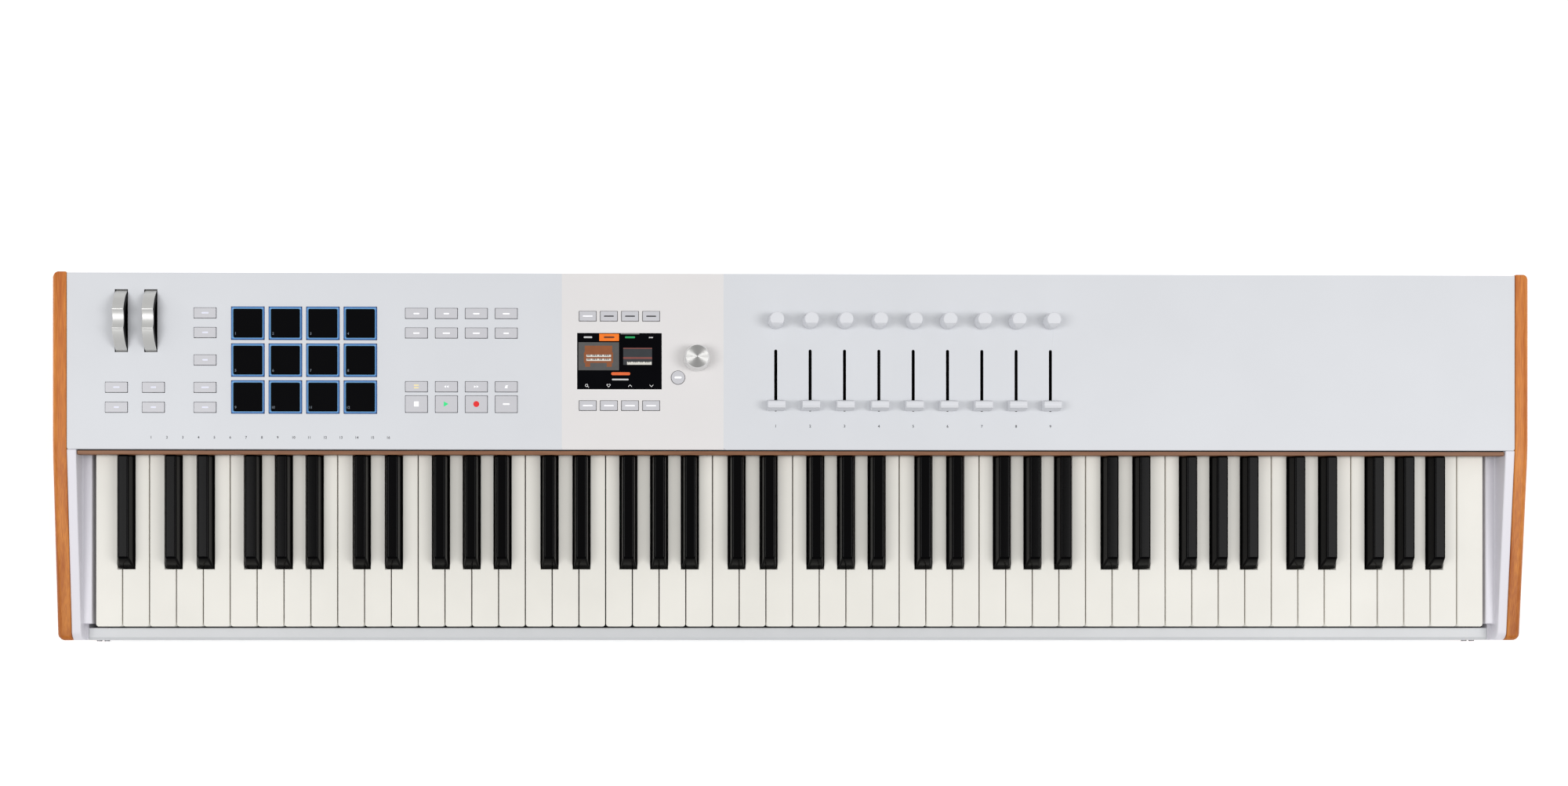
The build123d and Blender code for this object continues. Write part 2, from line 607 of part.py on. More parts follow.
def make_hammers():
    """One weighted hammer under each key: a head at the front of an arm on the hammer rod."""
    f, z = HAMMER_PIVOT
    pitch = WHITE_KEYS * KEY_PITCH / HAMMERS
    half = HAMMER_WIDTH / 2
    with BuildPart() as hammer:
        box((-half, half), HAMMER_ARM, (z - HAMMER_ARM_HEIGHT / 2, z + HAMMER_ARM_HEIGHT / 2))
        box((-half, half), HAMMER_HEAD, (z - HAMMER_HEAD_HEIGHT / 2, z + HAMMER_HEAD_HEIGHT / 2))
        rod_x((-half, half), f, z, HAMMER_BOSS)
        rod_x((-half, half), f, z, PIVOT_RADIUS + PIVOT_CLEARANCE, Mode.SUBTRACT)
    places = [FIRST_EDGE + (i + 0.5) * pitch for i in range(HAMMERS)]
    save(Compound([Pos(x, 0, 0) * hammer.part for x in places]), "key_hammers")


# ---------------------------------------------------------------- case pieces
def side_plate(x, thickness, top, rear, nose_radius):
    """A plate along one end: level beside the panel, then falling in a straight slope to the front."""
    shoulder = (back(PANEL_FROM_FRONT), top)
    corners = [(back(0), top - FRONT_DROP), shoulder]
    if rear > PANEL_FROM_FRONT:
        corners.append((back(rear), top))
    corners += [(back(rear), FOOT_HEIGHT), (back(0), FOOT_HEIGHT)]
    with BuildPart() as plate:
        with BuildSketch(Plane(origin=(x, 0, 0), x_dir=(0, 1, 0), z_dir=(1, 0, 0))) as outline:
            with BuildLine():
                Polyline(*corners, close=True)
            make_face()
            nose = outline.vertices().group_by(Axis.X)[0].sort_by(Axis.Y)[-1]
            fillet(nose, nose_radius)
            if rear > PANEL_FROM_FRONT:
                fillet(outline.vertices().sort_by_distance((*shoulder, 0))[0], SHOULDER_RADIUS)
        extrude(amount=thickness)
    return plate.part


def make_cheek(side, name):
    """A solid wooden side panel, with its outer corners rounded."""
    with BuildPart() as cheek:
        add(side_plate(side * HALF, side * CHEEK_THICKNESS, PANEL_TOP + CHEEK_PROUD, DEPTH, CHEEK_NOSE))
        outer = cheek.faces().sort_by(Axis.X)[0 if side < 0 else -1]
        fillet(outer.edges().filter_by(Axis.Z), CHEEK_CORNER)
    save(cheek.part, name)


def make_end_block(side, name):
    """Moulded block between a cheek and the keys: a falling strip, a ledge and a foot, hollow below."""
    def across(low, high):
        return tuple(sorted((side * low, side * high)))

    strip_inner = HALF - STRIP_WIDTH
    with BuildPart() as block:
        add(side_plate(side * strip_inner, side * STRIP_WIDTH, PANEL_TOP, PANEL_FROM_FRONT, BLOCK_NOSE))
        ledge = (LEDGE_FROM_FRONT, PANEL_FROM_FRONT)
        box(across(LEDGE_INNER, strip_inner), ledge, (FOOT_HEIGHT, LEDGE_TOP))
        box(across(BLOCK_FOOT_INNER, strip_inner), (0, LEDGE_FROM_FRONT), (FOOT_HEIGHT, RAIL_TOP))
        cavity = (BLOCK_FOOT_INNER + BLOCK_WALL, HALF - BLOCK_WALL)
        reach = (BLOCK_WALL, PANEL_FROM_FRONT - BLOCK_WALL)
        box(across(*cavity), reach, (FOOT_HEIGHT, RAIL_TOP - BLOCK_WALL), Mode.SUBTRACT)
        # The pan's edge runs under the block.
        box(across(LEDGE_INNER, HALF), (0, PANEL_FROM_FRONT), (FOOT_HEIGHT, PAN_TOP), Mode.SUBTRACT)
    save(block.part, name)


def make_front_rail():
    """Channel along the front: wall, top and a rear return, with its screw holes."""
    whole = (-RAIL_HALF, RAIL_HALF)
    under = RAIL_TOP - RAIL_WALL
    with BuildPart() as rail:
        box(whole, (0, RAIL_WALL), (FOOT_HEIGHT, RAIL_TOP))
        box(whole, (0, RAIL_DEPTH), (under, RAIL_TOP))
        fillet(rail.edges().filter_by(Axis.X).group_by(Axis.Z)[-1].sort_by(Axis.Y)[0], 3.0)
        box(whole, (RAIL_DEPTH - RAIL_WALL, RAIL_DEPTH), (under - 10.0, under))
        for x in FRONT_SCREWS:
            for side in (-1, 1):
                rod_y(side * x, (0, RAIL_WALL), FRONT_SCREW_Z, SCREW_RADIUS + 0.1, Mode.SUBTRACT)
    save(rail.part, "front_rail")


def make_fallboard_strip():
    """Wooden strip along the rear of the keys, on the panel's front lip."""
    with BuildPart() as strip:
        box((-623.0, 623.0), (162.2, PANEL_FROM_FRONT), (90.0, COVER_BOTTOM + 0.5))
    save(strip.part, "fallboard_strip")


def make_bottom_pan():
    """Steel base with a front lip behind the rail, and clearance holes for its screws."""
    edge = HALF - CASE_GAP
    lip = (RAIL_WALL + 0.1, RAIL_WALL + 0.1 + SHEET)
    rear = REAR_FROM_FRONT - SHEET
    with BuildPart() as pan:
        box((-edge, edge), (lip[0], rear), (FOOT_HEIGHT, PAN_TOP))
        box((-RAIL_HALF, RAIL_HALF), lip, (PAN_TOP, 54.0))
        for x in FRONT_SCREWS:
            for side in (-1, 1):
                rod_y(side * x, lip, FRONT_SCREW_Z, SCREW_RADIUS + 0.02, Mode.SUBTRACT)
        for x, f in PAN_SCREWS:
            pin(x, f, (FOOT_HEIGHT, PAN_TOP), SCREW_RADIUS + 0.1, Mode.SUBTRACT)
    save(pan.part, "bottom_pan")


def make_rear_panel():
    """Steel rear wall with the holes for the sockets, the lock slot and its screws."""
    edge = HALF - CASE_GAP
    through = (REAR_FROM_FRONT - SHEET, REAR_FROM_FRONT)
    with BuildPart() as panel:
        box((-edge, edge), through, (FOOT_HEIGHT, COVER_BOTTOM))
        for x in JACK_X:
            rod_y(x, through, JACK_Z, JACK_BARREL + 0.1, Mode.SUBTRACT)
        for x in DIN_X:
            rod_y(x, through, JACK_Z, DIN_RADIUS + 0.1, Mode.SUBTRACT)
        rod_y(POWER_X, through, JACK_Z, JACK_BARREL + 0.1, Mode.SUBTRACT)
        wide, high = (s / 2 + 0.9 for s in USB_SLOT)
        box((USB_X - wide, USB_X + wide), through, (JACK_Z - high, JACK_Z + high), Mode.SUBTRACT)
        x, long, tall = LOCK_SLOT
        box((x - long / 2, x + long / 2), through, (JACK_Z - tall / 2, JACK_Z + tall / 2), Mode.SUBTRACT)
        for x in REAR_SCREW_X:
            rod_y(x, through, 20.0, SCREW_RADIUS + 0.1, Mode.SUBTRACT)
    save(panel.part, "rear_panel")


def make_rear_connectors():
    """Five pedal jacks, two five-pin sockets, a USB socket and a power socket."""
    inner = REAR_FROM_FRONT - SHEET
    mouth = REAR_FROM_FRONT + JACK_NUT[1]
    sockets = []
    for x in JACK_X:
        with BuildPart() as jack:
            wide, deep, high = JACK_BODY
            box((x - wide / 2, x + wide / 2), (inner - deep, inner), (JACK_Z - high / 2, JACK_Z + high / 2))
            rod_y(x, (inner, REAR_FROM_FRONT), JACK_Z, JACK_BARREL)
            rod_y(x, (REAR_FROM_FRONT, mouth), JACK_Z, JACK_NUT[0])
            rod_y(x, (mouth - JACK_DEPTH, mouth), JACK_Z, JACK_BORE, Mode.SUBTRACT)
        sockets.append(jack.part)
    for x in DIN_X:
        with BuildPart() as din:
            wide, deep, high = DIN_BODY
            box((x - wide / 2, x + wide / 2), (inner - deep, inner), (JACK_Z - high / 2, JACK_Z + high / 2))
            rod_y(x, (inner, REAR_FROM_FRONT), JACK_Z, DIN_RADIUS)
            radius, depth = DIN_BORE
            rod_y(x, (REAR_FROM_FRONT - depth, REAR_FROM_FRONT), JACK_Z, radius, Mode.SUBTRACT)
        sockets.append(din.part)
    with BuildPart() as usb:
        wide, high = USB_SLOT[0] / 2, USB_SLOT[1] / 2
        shell = 0.8
        outer_x = (USB_X - wide - shell, USB_X + wide + shell)
        box(outer_x, (inner - 8.0, REAR_FROM_FRONT), (JACK_Z - high - shell, JACK_Z + high + shell))
        slot = (REAR_FROM_FRONT - 7.0, REAR_FROM_FRONT)
        box((USB_X - wide, USB_X + wide), slot, (JACK_Z - high, JACK_Z + high), Mode.SUBTRACT)
        tongue = (REAR_FROM_FRONT - 7.0, REAR_FROM_FRONT - 1.0)
        box((USB_X - wide + 1.2, USB_X + wide - 1.2), tongue, (JACK_Z - 0.35, JACK_Z + 0.35))
    sockets.append(usb.part)
    with BuildPart() as power:
        box((POWER_X - 6.0, POWER_X + 6.0), (inner - 12.0, inner), (JACK_Z - 6.0, JACK_Z + 6.0))
        rod_y(POWER_X, (inner, REAR_FROM_FRONT), JACK_Z, JACK_BARREL)
        radius, depth = POWER_BORE
        rod_y(POWER_X, (REAR_FROM_FRONT - depth, REAR_FROM_FRONT), JACK_Z, radius, Mode.SUBTRACT)
    sockets.append(power.part)
    save(Compound(sockets), "rear_connectors")


def make_feet():
    """Six rubber feet under the pan."""
    with BuildPart() as feet:
        with Locations(*[(x, back(f), FOOT_HEIGHT / 2) for x, f in FOOT_AT]):
            Cone(FOOT_RADIUS - 1.5, FOOT_RADIUS, FOOT_HEIGHT)
    save(feet.part, "rubber_feet")


def make_screws():
    """Screws of the front rail, the pan and the rear panel, each with a shank and a pan head."""
    radius, high = SCREW_HEAD
    with BuildPart() as screws:
        for x in FRONT_SCREWS:
            for side in (-1, 1):
                rod_y(side * x, (0, 8.0), FRONT_SCREW_Z, SCREW_RADIUS)
                rod_y(side * x, (-high, 0), FRONT_SCREW_Z, radius)
        for x, f in PAN_SCREWS:
            pin(x, f, (FOOT_HEIGHT, PAN_TOP), SCREW_RADIUS)
            pin(x, f, (FOOT_HEIGHT - high, FOOT_HEIGHT), radius)
        for x in REAR_SCREW_X:
            rod_y(x, (REAR_FROM_FRONT - 6.0, REAR_FROM_FRONT), 20.0, SCREW_RADIUS)
            rod_y(x, (REAR_FROM_FRONT, REAR_FROM_FRONT + high), 20.0, radius)
    save(screws.part, "screws")


os.makedirs("parts", exist_ok=True)
make_top_cover()
make_center_fascia()
make_display()
make_pads()
for group, group_places in button_places().items():
    make_buttons(group, group_places)
for wheel_name, wheel_x in zip(("pitch_wheel", "mod_wheel"), WHEEL_X):
    make_wheel(wheel_name, wheel_x)
make_wheel_bracket()
make_encoder()
for index, control_x in enumerate(KNOB_X, start=1):
    make_knob(index, control_x)
    make_fader(index, control_x)
make_control_sensors()
make_circuit_boards()
for note_name in NOTE_PLACE:
    make_white_keys(note_name)
for sharp_name in SHARP_OFFSET:
    make_black_keys(sharp_name)
make_keybed()
make_hammers()
for cheek_side, end_name in ((-1, "left"), (1, "right")):
    make_cheek(cheek_side, f"wood_cheek_{end_name}")
    make_end_block(cheek_side, f"end_block_{end_name}")
make_front_rail()
make_fallboard_strip()
make_bottom_pan()
make_rear_panel()
make_rear_connectors()
make_feet()
make_screws()
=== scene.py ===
import json
import math
import random

import bmesh
import bpy
from mathutils import Matrix, Vector


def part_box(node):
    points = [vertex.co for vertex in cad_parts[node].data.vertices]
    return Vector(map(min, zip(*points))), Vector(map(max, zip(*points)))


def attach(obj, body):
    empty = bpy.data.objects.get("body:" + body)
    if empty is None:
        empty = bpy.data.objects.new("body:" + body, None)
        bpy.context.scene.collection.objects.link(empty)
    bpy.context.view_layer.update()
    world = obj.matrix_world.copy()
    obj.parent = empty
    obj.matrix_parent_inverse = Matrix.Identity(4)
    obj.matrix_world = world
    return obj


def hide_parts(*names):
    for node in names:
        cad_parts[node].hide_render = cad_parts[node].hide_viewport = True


# Looks of an eighty-eight-key keyboard controller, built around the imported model.
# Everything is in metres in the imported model's frame: +X treble end, +Y rear, +Z up.
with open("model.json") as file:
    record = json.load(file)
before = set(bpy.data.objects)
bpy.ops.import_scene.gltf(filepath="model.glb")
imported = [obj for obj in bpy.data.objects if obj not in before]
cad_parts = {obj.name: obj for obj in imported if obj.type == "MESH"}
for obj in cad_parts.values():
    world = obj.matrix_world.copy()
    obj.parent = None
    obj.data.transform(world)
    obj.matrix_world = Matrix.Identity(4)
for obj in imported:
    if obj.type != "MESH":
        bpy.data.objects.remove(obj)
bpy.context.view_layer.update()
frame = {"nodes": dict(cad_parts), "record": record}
NODES = frame["nodes"]

MM = 0.001
MERGE = 1e-6               # corners nearer than this are one corner
NEAR = 1e-4                # heights and widths nearer than this are the same
PANEL_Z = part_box("top_cover")[1].z
PANEL_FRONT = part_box("top_cover")[0].y
BUTTON_GROUPS = ("wheel_buttons", "pad_buttons", "daw_buttons", "transport_buttons", "display_buttons")
CONTROLS = range(1, 10)    # the numbers of the knobs and of the faders

# Thumb wheels.
WHEEL_STEPS = 480          # points round an outline
NOTCH_RADIUS, NOTCH_DEPTH = 0.015, 0.003      # the fingertip hollow in a wheel's rim
RIDGE_ANGLE, RIDGE_HEIGHT = math.radians(2.6), 0.0004
WHEEL_BORE, WHEEL_HUB = 0.00305, 0.007        # radii round the axle
WHEEL_RIM, WHEEL_DISH = 0.006, 0.003          # breadth of the rim, depth of the hollow in each side
WHEEL_EDGE = 0.0006        # rounding of the rim's edges

# Knobs and the large dial.
KNOB_TAPER = 0.00075       # a knob's top radius is this much smaller than its foot
KNOB_SOFT = 0.0009         # rounding of the top edge
KNOB_FOOT = 0.0003         # bevel of the foot
KNOB_CUT = 0.0026          # the slanting flat starts this far behind the top's front edge
KNOB_SLANT = math.radians(36)
KNOB_SHAFT = 0.003         # radius of a knob's shaft
SHAFT_INTO_CAP = 0.001     # how far a knob's shaft reaches up into its cap
SHAFT_PLAY = 0.00005       # between the dial's shaft and its bore
DIAL_FOOT = ((0.0004, 0.0), (0.0, 0.0004), (0.0001, 0.0022), (0.0005, 0.0026))   # (inset, height)
DIAL_RIM = ((0.0010, 0.0009), (0.0017, 0.0002), (0.0019, 0.0))    # (inset, depth below the top)
DIAL_HOLLOW = 0.00015      # how far the face sinks to its middle
DIAL_FACE = 0.0005         # thickness of the turned top over the satin skirt

# Faders.
FADER_RIM = 0.0031         # half the depth of a cap's top
FADER_EDGE = 0.0005        # bevel of the top
FADER_FOOT = 0.0014        # height of the upright foot
SCOOP_HALF, SCOOP_DEPTH = 0.0022, 0.0008
FADER_SOFT = 0.0004        # rounding of the two ends
STEM_INTO_CAP = 0.0005     # how far a fader's stem reaches up into its cap
SLOT_HALF, SLOT_SHOWS = 0.00125, 0.0005       # half a slot's width; how far it shows past a cap
SLOT_HEIGHT = 0.00003      # of the dark shape that stands for a slot: painted shade in the slot

# Pads and buttons.
PAD_CORNER, PAD_SOFT = 0.0009, 0.0008
PAD_NUMBER_AT = (-0.0103, -0.0093)    # from the middle of a pad
FRAME_BREADTH, FRAME_CORNER, FRAME_INNER_CORNER = 0.00185, 0.0016, 0.0006
FRAME_OUTER_SLOPE, FRAME_INNER_SLOPE = 0.0005, 0.0006
CAP_FLANGE = 0.001         # a button's flange reaches this far out under the panel
CAP_PLAY = 0.00005         # a button's cap is finished this much smaller all round
CAP_SUNK = 0.0001          # a cap starts this far below the top of its flange
CAP_CORNER, CAP_SOFT = 0.0006, 0.0003
FLANGE_CORNER, FLANGE_HEIGHT = 0.0004, 0.0016
TALL_CAP = 0.013           # transport buttons deeper than this stand in the near row
WIDE_CAP = 0.0145          # display buttons wider than this are the soft buttons

# Case.
PLATE_NOSE = 0.0013        # rounding of the panel's upper front edge
PLATE_MARGIN = (0.005, 0.006)    # from the ends and rear, and from the front, to the outermost openings
GROOVE = (0.0011, 0.0026)  # width and depth of the groove between the strip and the panel, coloured dark as painted shade
STRIP_SWELL = 0.0006       # how far the strip's rounded front stands out
STRIP_SOFT = 0.0007        # rounding of its upper edge
STRIP_FOOT = 0.002         # height of the slope at its foot

# Round data sockets and the power socket.
DATA_DISC = (0.0062, 0.0040)     # radius, and how far it fills the bore from its floor
DATA_HOLES = 5
DATA_HOLE_RING, DATA_HOLE_RADIUS = 0.0037, 0.0008
DATA_HOLE_HEIGHT = 0.00005       # of the dark shape that stands for a hole: painted shade in the hole
POWER_PIN = (0.0010, 0.0075)     # radius and length

# Printed and lit marks.
PRINT_HEIGHT = 0.00006
PRINT_SUNK = 0.0002        # how far a printed shape reaches down into its surface
NUMBER_HEIGHT = 0.00003
PAD_NUMBERS = (0.0030, 0.00004)       # size of the figures, and how much they are thickened
FADER_NUMBERS = (0.0033, 0.00006)
CHANNEL_NUMBERS = (0.0031, 0.00006)
FADER_NUMBERS_AT, CHANNEL_NUMBERS_AT = 0.0206, 0.0102    # behind the panel's front edge
CHANNEL_FIRST, CHANNEL_PITCH, CHANNELS = -0.5588, 0.0137, 16
TAB_ROW, SIGN_ROW = 0.075, 0.930      # down the screen, as shares of its height
SCREEN_FIGURE = 0.00005    # height of words and signs over the glass

# The camera looks straight down from above the front of the keys, nearer the bass end.
CAMERA_AT = (-0.1565, -0.1423, 1.7300)
CAMERA_TILT = math.radians(-0.733)
LENS = 42.91
SENSOR = 36.0
CAMERA_SHIFT = (0.0927, 0.1448)

# Studio light.
SKY_STRENGTH = 0.80
SIDE_GAIN = 0.8            # how much brighter the sky is at the two ends than at front and rear
SKY_TONES = ((0.0, 0.47), (0.25, 0.45), (0.66, 0.42), (0.82, 0.52), (1.0, 0.78))   # (height, brightness)
SOFTBOX_SIZE = (0.8, 1.3)
LEFT_WATTS = 20.0
RIGHT_WATTS = 22.0
FLOOR_HALF = 4.0
FLOOR_GLOW = 0.36


# ------------------------------------------------ materials
def new_material(name):
    """An empty node material with its Principled shader."""
    mat = bpy.data.materials.new(name)
    mat.use_nodes = True
    return mat, mat.node_tree, mat.node_tree.nodes["Principled BSDF"]


def node(tree, kind, **settings):
    """A node with its properties and its input sockets set."""
    made = tree.nodes.new(kind)
    for key, value in settings.items():
        if key in made.inputs:
            made.inputs[key].default_value = value
        else:
            setattr(made, key, value)
    return made


def coordinates(tree, scale=(1, 1, 1)):
    """Object coordinates, in metres, stretched by scale."""
    place = node(tree, "ShaderNodeTexCoord")
    stretch = node(tree, "ShaderNodeMapping")
    stretch.inputs["Scale"].default_value = scale
    tree.links.new(place.outputs["Object"], stretch.inputs["Vector"])
    return stretch.outputs["Vector"]


def noise(tree, scale, stretch=(1, 1, 1), detail=3.0):
    """A noise value of about 0 to 1."""
    made = node(tree, "ShaderNodeTexNoise", Scale=scale, Detail=detail)
    tree.links.new(coordinates(tree, stretch), made.inputs["Vector"])
    return made.outputs["Fac"]


def ramp(tree, value, stops):
    """A colour ramp through (position, colour) stops."""
    made = node(tree, "ShaderNodeValToRGB")
    line = made.color_ramp.elements
    while len(line) < len(stops):
        line.new(0.5)
    for element, (place, colour) in zip(line, stops):
        element.position = place
        element.color = (*colour, 1.0)
    tree.links.new(value, made.inputs["Fac"])
    return made.outputs["Color"]


def spread(tree, value, low, high):
    """A value of about 0.3 to 0.7 mapped to the range from low to high."""
    made = node(tree, "ShaderNodeMapRange")
    made.inputs["From Min"].default_value = 0.3
    made.inputs["From Max"].default_value = 0.7
    made.inputs["To Min"].default_value = low
    made.inputs["To Max"].default_value = high
    tree.links.new(value, made.inputs["Value"])
    return made.outputs["Result"]


def bump(tree, shader, height, distance):
    """Relief of that depth, in metres."""
    made = node(tree, "ShaderNodeBump", Strength=1.0, Distance=distance)
    tree.links.new(height, made.inputs["Height"])
    tree.links.new(made.outputs["Normal"], shader.inputs["Normal"])


def shade(colour, factor):
    """A colour made lighter or darker."""
    return tuple(min(1.0, c * factor) for c in colour)


def moulded(name, colour, rough, grain=1400.0, depth=0.00002, vary=0.03, metal=0.0, level=0.5):
    """Moulded plastic, paint or rubber: cloudy colour, uneven gloss and a fine grained surface."""
    mat, tree, shader = new_material(name)
    cloud = noise(tree, 14.0)
    stops = [(0.3, shade(colour, 1 - vary)), (0.7, shade(colour, 1 + vary))]
    tree.links.new(ramp(tree, cloud, stops), shader.inputs["Base Color"])
    fine = noise(tree, grain, detail=2.0)
    tree.links.new(spread(tree, fine, rough * 0.9, rough * 1.1), shader.inputs["Roughness"])
    shader.inputs["Metallic"].default_value = metal
    shader.inputs["Specular IOR Level"].default_value = level
    bump(tree, shader, fine, depth)
    return mat


def wooden(name, light, dark, along, front_tone=1.0):
    """Oiled wood: fibres and broad bands run along the axis given by its letter.

    front_tone is how much darker or lighter it is at the front than at the rear."""
    mat, tree, shader = new_material(name)

    def drawn_out(share):
        return (share, 1, 1) if along == "x" else (1, share, 1)

    bands = noise(tree, 130.0, drawn_out(0.05), detail=4.0)
    fibres = noise(tree, 1300.0, drawn_out(0.05), detail=3.0)
    pores = noise(tree, 2600.0, drawn_out(0.03), detail=1.0)
    mix = node(tree, "ShaderNodeMix", data_type="FLOAT")
    mix.inputs["Factor"].default_value = 0.42
    tree.links.new(bands, mix.inputs["A"])
    tree.links.new(fibres, mix.inputs["B"])
    middle = tuple((a + b) / 2 for a, b in zip(light, dark))
    colours = ramp(tree, mix.outputs["Result"], [(0.36, dark), (0.5, middle), (0.62, light)])
    tone = node(tree, "ShaderNodeMapRange")
    for key, value in {"From Min": -0.16, "From Max": 0.06, "To Min": front_tone, "To Max": 1.0}.items():
        tone.inputs[key].default_value = value
    parts = node(tree, "ShaderNodeSeparateXYZ")
    tree.links.new(coordinates(tree), parts.inputs["Vector"])
    tree.links.new(parts.outputs["Y"], tone.inputs["Value"])
    toned = node(tree, "ShaderNodeVectorMath", operation="SCALE")
    tree.links.new(colours, toned.inputs[0])
    tree.links.new(tone.outputs["Result"], toned.inputs["Scale"])
    tree.links.new(toned.outputs["Vector"], shader.inputs["Base Color"])
    tree.links.new(spread(tree, fibres, 0.357, 0.483), shader.inputs["Roughness"])
    shader.inputs["Specular IOR Level"].default_value = 0.25
    bump(tree, shader, pores, 0.00006)
    return mat


def glowing(name, colour, strength, base, rough=0.4):
    """A lit surface: its glow is a little uneven, as light from behind plastic is."""
    mat, tree, shader = new_material(name)
    cloud = noise(tree, 220.0)
    stops = [(0.3, shade(colour, 0.88)), (0.7, colour)]
    tree.links.new(ramp(tree, cloud, stops), shader.inputs["Emission Color"])
    shader.inputs["Emission Strength"].default_value = strength
    tree.links.new(ramp(tree, cloud, [(0.3, base), (0.7, shade(base, 1.05))]), shader.inputs["Base Color"])
    shader.inputs["Roughness"].default_value = rough
    return mat


def turned_metal(name, colour, rough, rings, anisotropy=0.0):
    """Turned or brushed metal; the rings run round the piece's own Z axis."""
    mat, tree, shader = new_material(name)
    place = node(tree, "ShaderNodeTexCoord")
    flat = node(tree, "ShaderNodeVectorMath", operation="MULTIPLY")
    flat.inputs[1].default_value = (1, 1, 0)
    tree.links.new(place.outputs["Object"], flat.inputs[0])
    radius = node(tree, "ShaderNodeVectorMath", operation="LENGTH")
    tree.links.new(flat.outputs["Vector"], radius.inputs[0])
    groove = node(tree, "ShaderNodeTexNoise", noise_dimensions="1D", Scale=rings, Detail=2.0)
    tree.links.new(radius.outputs["Value"], groove.inputs["W"])
    stops = [(0.3, shade(colour, 0.9)), (0.7, shade(colour, 1.05))]
    tree.links.new(ramp(tree, groove.outputs["Fac"], stops), shader.inputs["Base Color"])
    shader.inputs["Metallic"].default_value = 1.0
    shader.inputs["Anisotropic"].default_value = anisotropy
    if anisotropy:
        tangent = node(tree, "ShaderNodeTangent", direction_type="RADIAL", axis="Z")
        tree.links.new(tangent.outputs["Tangent"], shader.inputs["Tangent"])
        shader.inputs["Anisotropic Rotation"].default_value = 0.25
    gloss = spread(tree, groove.outputs["Fac"], rough * 0.85, rough * 1.15)
    tree.links.new(gloss, shader.inputs["Roughness"])
    bump(tree, shader, groove.outputs["Fac"], 0.000004)
    return mat


PAINT = moulded("panel paint", (0.700, 0.715, 0.748), 0.48, grain=2600.0, depth=0.000012, vary=0.012)
FASCIA = moulded("fascia paint", (0.775, 0.755, 0.752), 0.55, grain=2600.0, depth=0.000012, vary=0.01)
BLOCK = moulded("end block plastic", (0.745, 0.730, 0.785), 0.42, vary=0.012)
RAIL = moulded("rail paint", (0.600, 0.612, 0.630), 0.38, grain=2200.0, depth=0.000012, vary=0.015)
IVORY = moulded("white key plastic", (0.830, 0.810, 0.752), 0.42, grain=900.0, depth=0.000008, level=0.3)
EBONY = moulded("black key plastic", (0.0013, 0.0012, 0.0015), 0.17, grain=1600.0, depth=0.000006, vary=0.1,
                level=0.05)
CAP = moulded("button plastic", (0.600, 0.598, 0.630), 0.40, vary=0.02)
KNOB = moulded("knob plastic", (0.745, 0.755, 0.790), 0.42, vary=0.012)
RUBBER = moulded("pad rubber", (0.0022, 0.0022, 0.0028), 0.60, grain=2400.0, depth=0.00005, vary=0.12,
                 level=0.03)
SILVER = moulded("wheel lacquer", (0.680, 0.680, 0.665), 0.38, grain=2000.0, depth=0.000002, metal=0.45)
GLASS = moulded("screen glass", (0.002, 0.002, 0.003), 0.10, grain=300.0, depth=0.000001, vary=0.2,
                level=0.03)
INK = moulded("printed ink", (0.050, 0.052, 0.060), 0.5, vary=0.1)
PAD_INK = moulded("pad ink", (0.160, 0.190, 0.230), 0.5, vary=0.1)
DARK_BAR = moulded("unlit bar", (0.016, 0.016, 0.018), 0.5, vary=0.1, level=0.1)
# Near black: the own colour of the inner plastic parts, and also painted shade on hole walls, button
# flanges, the strip's groove, the wheels' sides and the dark shapes for slots and socket holes.
INNER_PLASTIC_AND_SHADE = moulded("inner plastic and painted shade", (0.006, 0.006, 0.007), 0.6, vary=0.15, level=0.2)
STEEL = moulded("powder coat", (0.240, 0.245, 0.255), 0.55, grain=1800.0, depth=0.00005, vary=0.05)
FOOT = moulded("foot rubber", (0.020, 0.020, 0.021), 0.8, grain=1200.0, depth=0.00006, vary=0.1)
SOCKET_FACE = moulded("socket disc", (0.110, 0.110, 0.115), 0.45, vary=0.1)
SOCKET = moulded("socket plastic", (0.016, 0.016, 0.018), 0.45, vary=0.12)
BOARD = moulded("solder mask", (0.015, 0.105, 0.045), 0.35, vary=0.15)
IRON = moulded("hammer weight", (0.060, 0.060, 0.062), 0.5, vary=0.15, metal=0.8)
CHEEK = wooden("cheek wood", (0.740, 0.265, 0.050), (0.450, 0.112, 0.015), "y", front_tone=0.78)
STRIP = wooden("strip wood", (0.290, 0.142, 0.076), (0.190, 0.080, 0.040), "x")
DIAL = turned_metal("turned aluminium", (0.860, 0.855, 0.840), 0.52, 4200.0, anisotropy=1.0)
SKIRT = moulded("satin skirt", (0.800, 0.795, 0.790), 0.35, grain=2000.0, vary=0.03, metal=0.25)
SHAFT = turned_metal("turned steel", (0.550, 0.550, 0.560), 0.3, 3000.0)
SCREW = turned_metal("plated steel", (0.200, 0.200, 0.210), 0.3, 2500.0)
WHITE_GLOW = glowing("white legend", (1.0, 1.0, 1.0), 0.25, base=(0.85, 0.85, 0.88), rough=0.5)
SOFT_GLOW = glowing("dim legend", (0.80, 0.82, 1.0), 0.08, base=(0.74, 0.75, 0.86), rough=0.5)
DEEP_BLUE = glowing("unlit blue edge", (0.010, 0.060, 0.220), 0.20, base=(0.012, 0.050, 0.190), rough=0.35)
BLUE_GLOW = glowing("lit blue frame", (0.032, 0.165, 0.450), 0.32, base=(0.040, 0.160, 0.400), rough=0.3)
PALE_BLUE = glowing("lit pale edge", (0.200, 0.450, 0.760), 0.30, base=(0.200, 0.400, 0.640), rough=0.3)
GREEN_GLOW = glowing("play legend", (0.015, 0.78, 0.24), 0.55, base=(0.01, 0.4, 0.12))
RED_GLOW = glowing("record legend", (0.80, 0.004, 0.006), 0.65, base=(0.3, 0.004, 0.004))
YELLOW_GLOW = glowing("loop legend", (0.85, 0.66, 0.22), 0.4, base=(0.7, 0.6, 0.3))


